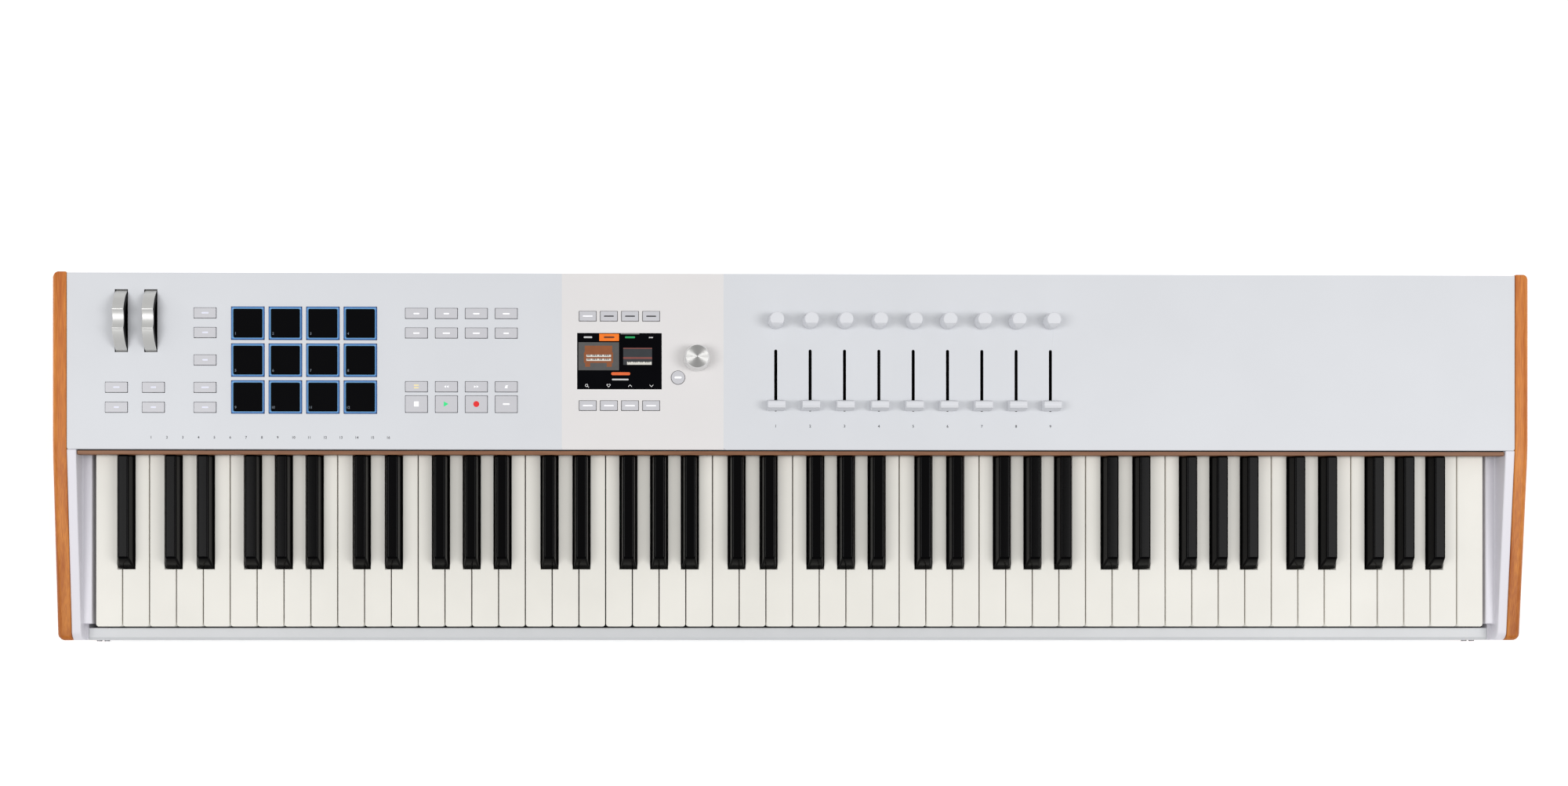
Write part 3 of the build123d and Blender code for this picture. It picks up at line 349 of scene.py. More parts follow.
# ------------------------------------------------ mesh helpers
def piece(name, bm, body, mats, stands_for=(), sharp=38.0):
    """Turns a bmesh into a finished piece that rides on a body."""
    mesh = bpy.data.meshes.new(name)
    bmesh.ops.recalc_face_normals(bm, faces=bm.faces)
    bm.to_mesh(mesh)
    bm.free()
    for mat in mats:
        mesh.materials.append(mat)
    mesh.polygons.foreach_set("use_smooth", [True] * len(mesh.polygons))
    mesh.set_sharp_from_angle(angle=math.radians(sharp))
    obj = bpy.data.objects.new(name, mesh)
    bpy.context.scene.collection.objects.link(obj)
    normals = obj.modifiers.new("normals", "WEIGHTED_NORMAL")
    normals.keep_sharp = True
    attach(obj, body)
    if stands_for:
        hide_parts(*stands_for)
    return obj


def cad_mesh(name, whole_faces=False):
    """A CAD node's own mesh with its corners joined, and its flat faces each made one if asked."""
    bm = bmesh.new()
    bm.from_mesh(NODES[name].data)
    bmesh.ops.remove_doubles(bm, verts=bm.verts, dist=MERGE)
    if whole_faces:
        bmesh.ops.dissolve_limit(bm, angle_limit=math.radians(1), verts=bm.verts, edges=bm.edges)
    return bm


def solids(name):
    """The corner points of every separate solid of a CAD node, ordered along X and then Y."""
    bm = cad_mesh(name)
    seen = set()
    found = []
    for start in bm.verts:
        if start in seen:
            continue
        seen.add(start)
        front, points = [start], []
        while front:
            vert = front.pop()
            points.append(vert.co.copy())
            for edge in vert.link_edges:
                other = edge.other_vert(vert)
                if other not in seen:
                    seen.add(other)
                    front.append(other)
        found.append(points)
    bm.free()
    return sorted(found, key=lambda ps: (round(min(p.x for p in ps), 4), min(p.y for p in ps)))


def box_of(points):
    """(lowest, highest) corner of some points."""
    low = Vector([min(p[i] for p in points) for i in range(3)])
    high = Vector([max(p[i] for p in points) for i in range(3)])
    return low, high


def wider_first(name):
    """The corner points of a control's cap, and those of the narrower stem or shaft under it."""
    return sorted(solids(name), key=lambda ps: box_of(ps)[0].x - box_of(ps)[1].x)


def middle_of(low, high):
    """(x, y) halfway between two corners."""
    return (low.x + high.x) / 2, (low.y + high.y) / 2


def moved(outline, place):
    """An outline of (x, y) carried to a place."""
    return [(place[0] + x, place[1] + y) for x, y in outline]


def rectangle(x0, y0, x1, y1):
    """The outline of a rectangle between two opposite corners."""
    return [(x0, y0), (x1, y0), (x1, y1), (x0, y1)]


def ring_of(width, depth, radius, steps=5):
    """The outline of a rounded rectangle about the origin, anticlockwise."""
    points = []
    for turn, (sx, sy) in enumerate(((1, 1), (-1, 1), (-1, -1), (1, -1))):
        for step in range(steps + 1):
            angle = math.pi / 2 * (turn + step / steps)
            x = sx * (width / 2 - radius) + radius * math.cos(angle)
            y = sy * (depth / 2 - radius) + radius * math.sin(angle)
            points.append((x, y))
    return points


def prism(bm, outline, low, high, soften=0.0, segments=3, index=0):
    """A prism on an outline of (x, y), with its upper edge rounded, in the material of that index."""
    before = set(bm.faces)
    top = bm.faces.new([bm.verts.new((x, y, high)) for x, y in outline])
    made = bmesh.ops.extrude_face_region(bm, geom=[top])
    lower = [g for g in made["geom"] if isinstance(g, bmesh.types.BMVert)]
    bmesh.ops.translate(bm, verts=lower, vec=(0, 0, low - high))
    if soften:
        bmesh.ops.bevel(bm, geom=list(top.edges), offset=soften, segments=segments, profile=0.5,
                        affect="EDGES", clamp_overlap=True)
    for face in set(bm.faces) - before:
        face.material_index = index


def skin(bm, near, far, index=0):
    """A closed solid between two outlines of (x, y, z) with the same number of points."""
    ends = [[bm.verts.new(point) for point in outline] for outline in (near, far)]
    faces = [bm.faces.new(end) for end in ends]
    for i in range(len(near)):
        j = (i + 1) % len(near)
        faces.append(bm.faces.new((ends[0][i], ends[0][j], ends[1][j], ends[1][i])))
    for face in faces:
        face.material_index = index


def bar_across(bm, side, left, right, index=0):
    """A straight bar along X whose outline, seen from the end, is side: points of (y, z)."""
    skin(bm, [(left, y, z) for y, z in side], [(right, y, z) for y, z in side], index)


def rod_y(bm, centre, radius, front, rear, index=0, steps=32):
    """A rod along Y, from front to rear, about a centre of (x, z)."""
    circle = moved(disc(radius, steps), centre)
    skin(bm, [(x, front, z) for x, z in circle], [(x, rear, z) for x, z in circle], index)


def plate(bm, outline, centre, z, thickness=PRINT_HEIGHT):
    """A thin printed or lit shape lying on a surface."""
    prism(bm, moved(outline, centre), z - PRINT_SUNK, z + thickness)


def bar(width, height):
    """The outline of a flat bar with rounded ends."""
    return ring_of(width, height, min(width, height) * 0.45, 3)


def disc(radius, steps=24):
    """The outline of a circle."""
    turns = [2 * math.pi * step / steps for step in range(steps)]
    return [(radius * math.cos(turn), radius * math.sin(turn)) for turn in turns]


def lathe(bm, profile, centre, steps=64):
    """A closed turned solid from (radius, height) points, the first and last on the axis."""
    rows = []
    for radius, z in profile:
        points = moved(disc(radius, steps), centre) if radius else [centre]
        rows.append([bm.verts.new((x, y, z)) for x, y in points])
    for low, high in zip(rows, rows[1:]):
        for i in range(steps):
            j = (i + 1) % steps
            corners = [low[i % len(low)], low[j % len(low)], high[j % len(high)], high[i % len(high)]]
            bm.faces.new(list(dict.fromkeys(corners)))


def refined(name, width, mat):
    """A CAD node's own shape with its edges rounded, standing for that node."""
    obj = piece(f"{name}_finished", cad_mesh(name, whole_faces=True), "case", [mat], [name])
    edges = obj.modifiers.new("rounded edges", "BEVEL")
    edges.width = width
    edges.segments = 3
    edges.limit_method = "ANGLE"
    edges.angle_limit = math.radians(40)
    edges.miter_outer = "MITER_ARC"
    obj.modifiers.move(1, 0)


def pierced(name, mat):
    """A CAD plate with its hole walls coloured dark as painted shade and a rounded upper front edge,
    standing for that node.
    """
    low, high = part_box(name)
    ends, front = PLATE_MARGIN
    close = 1e-5
    bm = cad_mesh(name)
    bm.normal_update()
    for face in bm.faces:
        x, y, _ = face.calc_center_median()
        inside = low.x + ends < x < high.x - ends and low.y + front < y < high.y - ends
        # Upright faces round the openings take the near-black material: painted shade in the holes.
        face.material_index = int(inside and abs(face.normal.z) < 0.5)
    nose = [e for e in bm.edges if all(v.co.y < low.y + close and v.co.z > high.z - close for v in e.verts)]
    bmesh.ops.bevel(bm, geom=nose, offset=PLATE_NOSE, segments=5, profile=0.5, affect="EDGES")
    piece(f"{name}_finished", bm, "case", [mat, INNER_PLASTIC_AND_SHADE], [name])


def make_strip():
    """The wooden strip behind the keys, with the groove along its rear edge coloured dark as painted shade.
    """
    low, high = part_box("fallboard_strip")
    front, groove, floor = low.y - STRIP_SWELL, high.y - GROOVE[0], high.z - GROOVE[1]
    bm = bmesh.new()
    soft = [(front + STRIP_SOFT - STRIP_SOFT * math.cos(a), high.z - STRIP_SOFT + STRIP_SOFT * math.sin(a))
            for a in (0.0, 0.4, 0.8, 1.2, math.pi / 2)]
    side = [(low.y, low.z), (front, low.z + STRIP_FOOT)] + soft + [(groove, high.z), (groove, low.z)]
    bar_across(bm, side, low.x, high.x)
    # The groove's wall and floor take the near-black material: painted shade in the gap under the panel's
    # edge.
    bar_across(bm, [(groove, low.z), (groove, floor), (high.y, floor), (high.y, low.z)], low.x, high.x, 1)
    piece("fallboard_strip_finished", bm, "case", [STRIP, INNER_PLASTIC_AND_SHADE], ["fallboard_strip"])


def paint(mat, *names):
    """Gives CAD nodes a better material."""
    for name in names:
        slots = NODES[name].data.materials
        slots.clear()
        slots.append(mat)


def lettering(name, entries, style, mat, body):
    """Generic numbers as (text, x, y, z), lying flat with their middles at those places."""
    bm = bmesh.new()
    for text, x, y, z in entries:
        curve = bpy.data.curves.new("number", "FONT")
        curve.body = text
        curve.size, curve.offset = style
        curve.extrude = NUMBER_HEIGHT
        curve.align_x = "CENTER"
        curve.align_y = "CENTER"
        holder = bpy.data.objects.new("number", curve)
        mesh = bpy.data.meshes.new_from_object(holder)
        mesh.transform(Matrix.Translation((x, y, z)))
        bm.from_mesh(mesh)
        bpy.data.objects.remove(holder)
        bpy.data.curves.remove(curve)
        bpy.data.meshes.remove(mesh)
    piece(name, bm, body, [mat])


# ------------------------------------------------ keys
def make_keys(node_name, mat, soften, round_corners=False):
    """The keys of one note in their own shape, with the edges of their tops softly rounded.

    round_corners also rounds the slanting edges that run down from the top to the foot."""
    bm = cad_mesh(node_name, whole_faces=True)
    top = max(v.co.z for v in bm.verts)
    edges = []
    for edge in bm.edges:
        if edge.calc_face_angle(0.0) < math.radians(25):
            continue
        ends = [v.co.z > top - NEAR for v in edge.verts]
        if all(ends) or (round_corners and any(ends)):
            edges.append(edge)
    bmesh.ops.bevel(bm, geom=edges, offset=soften, segments=5, profile=0.5, affect="EDGES",
                    clamp_overlap=True)
    piece(f"{node_name}_finished", bm, node_name, [mat], [node_name], sharp=40.0)


# ------------------------------------------------ controls
def wheel_outline(radius):
    """A thumb wheel's rim as (y, z) about its axle, with the notch and its two ridges at the top."""
    lift = radius - NOTCH_DEPTH + NOTCH_RADIUS
    notch_edge = math.acos((lift**2 + radius**2 - NOTCH_RADIUS**2) / (2 * lift * radius))
    outline = []
    for step in range(WHEEL_STEPS):
        angle = 2 * math.pi * step / WHEEL_STEPS
        away = abs(angle - math.pi / 2)
        reach = radius
        if away < notch_edge:
            reach = lift * math.cos(away) - math.sqrt(NOTCH_RADIUS**2 - (lift * math.sin(away)) ** 2)
        elif away < notch_edge + RIDGE_ANGLE:
            reach = radius + RIDGE_HEIGHT * math.sin((away - notch_edge) / RIDGE_ANGLE * math.pi)
        outline.append((reach * math.cos(angle), reach * math.sin(angle)))
    return outline


def shrunk(outline, inset):
    """An outline about the origin drawn in towards it everywhere by the same amount."""
    shares = [1 - inset / math.hypot(y, z) for y, z in outline]
    return [(y * share, z * share) for (y, z), share in zip(outline, shares)]


def make_wheel(name):
    """A thumb wheel: silver rim with a scooped notch between two thin ridges, and dished sides coloured dark
    as painted shade of the slot.
    """
    low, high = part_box(name)
    middle = (low + high) / 2
    radius = (high.y - low.y) / 2
    axle_z = low.z + radius
    outline = wheel_outline(radius)
    bore, hub = disc(WHEEL_BORE, WHEEL_STEPS), disc(WHEEL_HUB, WHEEL_STEPS)
    rim_inside = disc(radius - WHEEL_RIM, WHEEL_STEPS)
    # One side from the bore outwards, as (depth below the side face, outline) pairs.
    hollow = [(0.0, bore), (0.0, hub), (WHEEL_DISH, hub), (WHEEL_DISH, rim_inside), (0.0, rim_inside)]
    edge = []
    for step in range(4):
        turn = math.pi / 2 * step / 3
        depth = WHEEL_EDGE * (1 - math.cos(turn))
        edge.append((depth, shrunk(outline, WHEEL_EDGE * (1 - math.sin(turn)))))
    half = hollow + edge
    sections = [(low.x + depth, shape) for depth, shape in half]
    sections += [(high.x - depth, shape) for depth, shape in reversed(half)]
    bm = bmesh.new()
    loops = [[bm.verts.new((x, middle.y + y, axle_z + z)) for y, z in shape] for x, shape in sections]
    rim = range(len(hollow), len(loops) - len(hollow) - 1)
    for place, (near, far) in enumerate(zip(loops, loops[1:] + loops[:1])):
        for i in range(WHEEL_STEPS):
            j = (i + 1) % WHEEL_STEPS
            side = bm.faces.new((near[i], near[j], far[j], far[i]))
            # The sides and the bore take the near-black material: painted shade inside the slot.
            side.material_index = int(place not in rim)
    piece(f"{name}_finished", bm, name, [SILVER, INNER_PLASTIC_AND_SHADE], [name], sharp=32.0)


def make_knob(number):
    """A small encoder knob: a soft-edged tapered cap with a slanting flat at the front."""
    name = f"knob_{number}"
    cap, shaft = wider_first(name)
    low, high = box_of(cap)
    centre = middle_of(low, high)
    foot_r = (high.x - low.x) / 2
    top_r = foot_r - KNOB_TAPER
    soft_r, soft_z = top_r - KNOB_SOFT, high.z - KNOB_SOFT
    profile = [(0, low.z), (foot_r - KNOB_FOOT, low.z), (foot_r, low.z + KNOB_FOOT)]
    for step in range(6):
        angle = math.pi / 2 * step / 5
        profile.append((soft_r + KNOB_SOFT * math.cos(angle), soft_z + KNOB_SOFT * math.sin(angle)))
    profile.append((0, high.z))
    bm = bmesh.new()
    lathe(bm, profile, centre, 72)
    cut = Vector((centre[0], centre[1] - top_r + KNOB_CUT, high.z))
    slant = Vector((0, -math.cos(KNOB_SLANT), math.sin(KNOB_SLANT)))
    geometry = list(bm.verts) + list(bm.edges) + list(bm.faces)
    made = bmesh.ops.bisect_plane(bm, geom=geometry, plane_co=cut, plane_no=slant, clear_outer=True)
    open_edges = [g for g in made["geom_cut"] if isinstance(g, bmesh.types.BMEdge)]
    bmesh.ops.contextual_create(bm, geom=open_edges)
    foot, top = box_of(shaft)[0].z, low.z + SHAFT_INTO_CAP
    lathe(bm, [(0, foot), (KNOB_SHAFT, foot), (KNOB_SHAFT, top), (0, top)], centre, 32)
    piece(f"{name}_finished", bm, name, [KNOB], [name])


def make_dial():
    """The large dial: turned face with a fine rim, over a satin skirt, bored for its shaft."""
    low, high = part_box("encoder_knob")
    shaft_low, shaft_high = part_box("encoder_shaft")
    bore = (shaft_high.x - shaft_low.x) / 2 + SHAFT_PLAY
    bore_top = shaft_high.z - low.z + 2 * SHAFT_PLAY
    radius = (high.x - low.x) / 2
    tall = high.z - low.z
    profile = [(0, bore_top), (bore, bore_top), (bore, 0)]
    profile += [(radius - inset, height) for inset, height in DIAL_FOOT]
    profile += [(radius - inset, tall - depth) for inset, depth in DIAL_RIM]
    profile.append((0, tall - DIAL_HOLLOW))
    bm = bmesh.new()
    lathe(bm, profile, (0, 0), 96)
    for face in bm.faces:
        face.material_index = int(face.calc_center_median().z < tall - DIAL_FACE)
    obj = piece("dial_finished", bm, "encoder_knob", [DIAL, SKIRT], ["encoder_knob"],
                sharp=25.0)
    obj.matrix_world = Matrix.Translation((*middle_of(low, high), low.z))


def make_fader(number):
    """A fader cap with two slopes and a fingertip scoop, on its stem.

    It returns the place of the middle of the cap's near edge."""
    name = f"fader_{number}"
    cap, stem = wider_first(name)
    low, high = box_of(cap)
    x, y = middle_of(low, high)
    half, tall = (high.y - low.y) / 2, high.z - low.z
    edge = FADER_RIM - FADER_EDGE
    side = [(-half, 0.0), (-half, FADER_FOOT), (-FADER_RIM, tall - FADER_EDGE), (-edge, tall)]
    for step in range(9):
        along = SCOOP_HALF * (step / 4 - 1)
        side.append((along, tall - SCOOP_DEPTH * math.cos(along / SCOOP_HALF * math.pi / 2)))
    side += [(edge, tall), (FADER_RIM, tall - FADER_EDGE), (half, FADER_FOOT), (half, 0.0)]
    bm = bmesh.new()
    face = bm.faces.new([bm.verts.new((low.x, y + py, low.z + pz)) for py, pz in side])
    made = bmesh.ops.extrude_face_region(bm, geom=[face])
    far = [g for g in made["geom"] if isinstance(g, bmesh.types.BMVert)]
    bmesh.ops.translate(bm, verts=far, vec=(high.x - low.x, 0, 0))
    rims = [e for e in bm.edges if abs(e.verts[0].co.x - e.verts[1].co.x) < MERGE]
    bmesh.ops.bevel(bm, geom=rims, offset=FADER_SOFT, segments=3, profile=0.5, affect="EDGES",
                    clamp_overlap=True)
    stem_low, stem_high = box_of(stem)
    outline = rectangle(stem_low.x, stem_low.y, stem_high.x, stem_high.y)
    prism(bm, outline, stem_low.z, low.z + STEM_INTO_CAP, index=1)
    piece(f"{name}_finished", bm, name, [KNOB, INNER_PLASTIC_AND_SHADE], [name])
    return x, low.y


def make_slot_ends(places):
    """Dark discs of painted shade at the near ends of the fader slots, which show just in front of the caps.
    """
    bm = bmesh.new()
    for x, y in places:
        plate(bm, disc(SLOT_HALF, 20), (x, y + SLOT_HALF - SLOT_SHOWS), PANEL_Z, SLOT_HEIGHT)
    piece("fader_slot_shade", bm, "case", [INNER_PLASTIC_AND_SHADE])


def make_pads():
    """Rubber pads with soft edges, and their numbers."""
    bm = bmesh.new()
    places = []
    for points in solids("drum_pads"):
        low, high = box_of(points)
        x, y = middle_of(low, high)
        outline = moved(ring_of(high.x - low.x, high.y - low.y, PAD_CORNER), (x, y))
        prism(bm, outline, low.z, high.z, PAD_SOFT, 4)
        places.append((x, y, high.z))
    piece("pads_finished", bm, "drum_pads", [RUBBER], ["drum_pads"])
    columns = sorted({round(x, 4) for x, _, _ in places})
    rows = sorted({round(y, 4) for _, y, _ in places}, reverse=True)
    numbers = []
    for x, y, z in places:
        number = rows.index(round(y, 4)) * len(columns) + columns.index(round(x, 4)) + 1
        numbers.append((str(number), x + PAD_NUMBER_AT[0], y + PAD_NUMBER_AT[1], z))
    lettering("pad_numbers", numbers, PAD_NUMBERS, PAD_INK, "drum_pads")


def make_pad_frames():
    """The lit frames: dark outside edge, even blue top and a pale edge towards the pad."""
    bm = bmesh.new()
    for points in solids("pad_frames"):
        low, high = box_of(points)
        width, depth = high.x - low.x, high.y - low.y
        # From the outside inwards: the inset, the height, and the material of the band that starts there.
        levels = [(0.0, low.z, 0), (0.0, high.z - FRAME_OUTER_SLOPE, 0), (FRAME_OUTER_SLOPE, high.z, 1),
                  (FRAME_BREADTH - FRAME_INNER_SLOPE, high.z, 2),
                  (FRAME_BREADTH, high.z - FRAME_INNER_SLOPE, 2), (FRAME_BREADTH, low.z, 0)]
        rings = []
        for inset, z, _ in levels:
            corner = max(FRAME_CORNER - inset, FRAME_INNER_CORNER)
            shape = moved(ring_of(width - 2 * inset, depth - 2 * inset, corner), middle_of(low, high))
            rings.append([bm.verts.new((x, y, z)) for x, y in shape])
        rings.append(rings[0])
        for (_, _, index), outer, nearer in zip(levels, rings, rings[1:]):
            for i in range(len(outer)):
                j = (i + 1) % len(outer)
                bm.faces.new((outer[i], outer[j], nearer[j], nearer[i])).material_index = index
    piece("pad_frames_finished", bm, "case", [DEEP_BLUE, BLUE_GLOW, PALE_BLUE], ["pad_frames"])


def make_caps(group):
    """Button caps with softly rounded edges, over the flanges that hold them under the panel; the flanges
    are coloured dark as painted shade in the gaps round the caps.
    """
    bm = bmesh.new()
    shrink = 2 * (CAP_FLANGE + CAP_PLAY)
    for points in solids(group):
        low, high = box_of(points)
        centre = middle_of(low, high)
        width, depth = high.x - low.x, high.y - low.y
        if abs(width - depth) < NEAR:
            shape, flange = disc((width - shrink) / 2, 64), disc(width / 2, 48)
        else:
            shape = ring_of(width - shrink, depth - shrink, CAP_CORNER)
            flange = ring_of(width, depth, FLANGE_CORNER, 2)
        flange_top = low.z + FLANGE_HEIGHT
        prism(bm, moved(shape, centre), flange_top - CAP_SUNK, high.z, CAP_SOFT, 3)
        # The flange takes the near-black material: painted shade in the gap round the cap.
        prism(bm, moved(flange, centre), low.z, flange_top, index=1)
    piece(f"{group}_finished", bm, group, [CAP, INNER_PLASTIC_AND_SHADE], [group])


# ------------------------------------------------ marks on the buttons
def button_tops(group):
    """(x, y, z, width, depth) of every button of a group: its top's middle, and its size with the flange."""
    tops = []
    for points in solids(group):
        low, high = box_of(points)
        tops.append((*middle_of(low, high), high.z, high.x - low.x, high.y - low.y))
    return tops


def make_word_bars():
    """Short bars in place of words, of random lengths."""
    rng = random.Random(7)
    # The group, its piece, the shortest and longest bar, their height, their shift and their material.
    rows = (("daw_buttons", "legends_daw", (0.0046, 0.0074), 0.0012, (0.0, -0.0003), WHITE_GLOW),
            ("wheel_buttons", "legends_wheel_buttons", (0.0045, 0.0072), 0.0014, (0.0002, 0.0), SOFT_GLOW),
            ("pad_buttons", "legends_pad_buttons", (0.0045, 0.0072), 0.0014, (0.0002, 0.0), SOFT_GLOW))
    for group, name, lengths, height, shift, mat in rows:
        bm = bmesh.new()
        for x, y, z, _, _ in button_tops(group):
            plate(bm, bar(rng.uniform(*lengths), height), (x + shift[0], y + shift[1]), z)
        piece(name, bm, group, [mat])


def make_transport_signs():
    """The usual signs for loop, wind, metronome, stop, play and record, and one bar in place of a word."""
    buttons = button_tops("transport_buttons")
    loop, back, forward, metronome = [b for b in buttons if b[4] < TALL_CAP]
    stop, play, record, word = [b for b in buttons if b[4] >= TALL_CAP]
    glows = {"white": WHITE_GLOW, "green": GREEN_GLOW, "red": RED_GLOW, "yellow": YELLOW_GLOW}
    marks = {colour: bmesh.new() for colour in glows}

    def sign(colour, outline, button, shift_x=0.0, shift_y=0.0):
        plate(marks[colour], outline, (button[0] + shift_x, button[1] + shift_y), button[2])

    sign("yellow", bar(0.0042, 0.0009), loop, shift_y=0.0012)
    sign("yellow", bar(0.0042, 0.0009), loop, shift_y=-0.0010)
    for button, way in ((back, -1), (forward, 1)):
        arrow = [(way * 0.0009, 0), (-way * 0.0009, 0.0011), (-way * 0.0009, -0.0011)][::way]
        sign("white", arrow, button, shift_x=-0.0011)
        sign("white", arrow, button, shift_x=0.0011)
    sign("white", [(-0.0014, -0.0013), (0.0012, -0.0013), (0.0007, 0.0013), (-0.0005, 0.0013)], metronome)
    sign("white", [(0.0002, -0.0004), (0.0006, -0.0007), (0.0018, 0.0013), (0.0014, 0.0015)], metronome)
    sign("white", ring_of(0.0042, 0.0044, 0.0004), stop)
    sign("green", [(-0.0019, -0.0023), (0.0021, 0), (-0.0019, 0.0023)], play, shift_x=-0.0003)
    sign("red", disc(0.0026), record)
    sign("white", bar(0.0060, 0.0014), word)
    for colour, mat in glows.items():
        piece(f"legends_transport_{colour}", marks[colour], "transport_buttons", [mat])


def make_display_bars():
    """Bars on the soft buttons round the screen, most of the rear row's unlit, and on the back button."""
    buttons = button_tops("display_buttons")
    soft = [b for b in buttons if b[3] > WIDE_CAP]
    rear = max(b[1] for b in soft)
    left = min(b[0] for b in soft)
    lit, unlit = bmesh.new(), bmesh.new()
    for x, y, z, _, _ in soft:
        dark = y > rear - MM and x > left + MM
        plate(unlit if dark else lit, bar(0.0086, 0.0010), (x, y - 0.0001), z)
    for x, y, z, width, _ in buttons:
        if width <= WIDE_CAP:
            plate(lit, bar(0.0062, 0.0017), (x, y), z)
    piece("legends_display_lit", lit, "display_buttons", [WHITE_GLOW])
    piece("legends_display_unlit", unlit, "display_buttons", [DARK_BAR])


# ------------------------------------------------ rear sockets
def make_socket_insides():
    """The discs inside the two round data sockets, each with five holes drawn as dark spots of painted
    shade, and the centre pin of the power socket.
    """
    disc_radius, disc_depth = DATA_DISC
    pin_radius, pin_length = POWER_PIN
    bm = bmesh.new()
    for mount in frame["record"]["mounts"]:
        x, y, z = mount["pos_m"]
        floor = y - mount["dims"].get("length_mm", 0.0) / 2 * MM
        if mount["name"].startswith("din_socket"):
            face = floor + disc_depth
            rod_y(bm, (x, z), disc_radius, floor, face)
            for hole in range(DATA_HOLES):
                angle = math.pi * (1 + hole / (DATA_HOLES - 1))
                place = (x + DATA_HOLE_RING * math.cos(angle), z + DATA_HOLE_RING * math.sin(angle))
                # Each hole is a thin near-black disc on the face: painted shade where the hole is.
                rod_y(bm, place, DATA_HOLE_RADIUS, face - PRINT_SUNK, face + DATA_HOLE_HEIGHT, 1, 16)
        elif mount["name"] == "power_socket":
            rod_y(bm, (x, z), pin_radius, floor, floor + pin_length, 2)
    piece("socket_insides", bm, "case", [SOCKET_FACE, INNER_PLASTIC_AND_SHADE, SHAFT])


# ------------------------------------------------ screen
# The screen window is the highest solid of the display.
GLASS_LOW, GLASS_HIGH = box_of(max(solids("display_module"), key=lambda ps: box_of(ps)[1].z))


def at(u, v):
    """A place on the screen: u from the left and v from the top, as shares of its size."""
    width, height = GLASS_HIGH.x - GLASS_LOW.x, GLASS_HIGH.y - GLASS_LOW.y
    return GLASS_LOW.x + u * width, GLASS_HIGH.y - v * height


def block(u0, v0, u1, v1):
    """The outline of a rectangle on the screen, from its upper left to its lower right corner."""
    return rectangle(*at(u0, v1), *at(u1, v0))


def band(outline, share, place):
    """The four-cornered parts between an outline and the same outline shrunk to that share."""
    parts = []
    for (x0, y0), (x1, y1) in zip(outline, outline[1:] + outline[:1]):
        part = [(x0, y0), (x1, y1), (x1 * share, y1 * share), (x0 * share, y0 * share)]
        parts.append(moved(part, place))
    return parts


def layer(name, colour, shapes, lift, strength=1.0):
    """The parts of the screen's picture in one colour, lying that high over the glass."""
    bm = bmesh.new()
    for outline in shapes:
        prism(bm, outline, GLASS_HIGH.z - PRINT_SUNK, GLASS_HIGH.z + lift)
    mat = glowing(f"screen {name}", colour, strength, base=(0.01, 0.01, 0.01), rough=0.2)
    piece(f"screen_{name}", bm, "case", [mat])


def black_keys():
    """The black keys in the two pictures: two octaves in each of three rows."""
    blacks = []
    for row, first, last in ((0.385, 0.115, 0.395), (0.455, 0.115, 0.395), (0.500, 0.595, 0.875)):
        for i in range(14):
            if i % 7 in (2, 6):
                continue
            u = first + (last - first) * (i + 0.7) / 14
            blacks.append(block(u - 0.005, row, u + 0.005, row + 0.024))
    return blacks


def signs():
    """A magnifying glass, a heart and two arrow heads along the foot of the screen."""
    glass_at = at(0.112, SIGN_ROW)
    handle = [(0.0008, -0.0010), (0.0018, -0.0020), (0.0021, -0.0017), (0.0011, -0.0007)]
    heart = [(0.0, -0.0017), (0.0016, 0.0), (0.0017, 0.0008), (0.0009, 0.0014), (0.0, 0.0008),
             (-0.0009, 0.0014), (-0.0017, 0.0008), (-0.0016, 0.0)]
    shapes = band(disc(0.0013, 20), 0.66, glass_at)
    shapes.append(moved(handle, glass_at))
    shapes += band(heart, 0.68, at(0.372, SIGN_ROW))
    for u, way in ((0.625, 1), (0.878, -1)):
        for side in (-1, 1):
            tip, foot = (0.0, 0.0008 * way), (side * 0.0016, -0.0008 * way)
            arm = [tip, foot, (foot[0], foot[1] - 0.0006), (tip[0], tip[1] - 0.0006)]
            shapes.append(moved(arm, at(u, SIGN_ROW)))
    return shapes


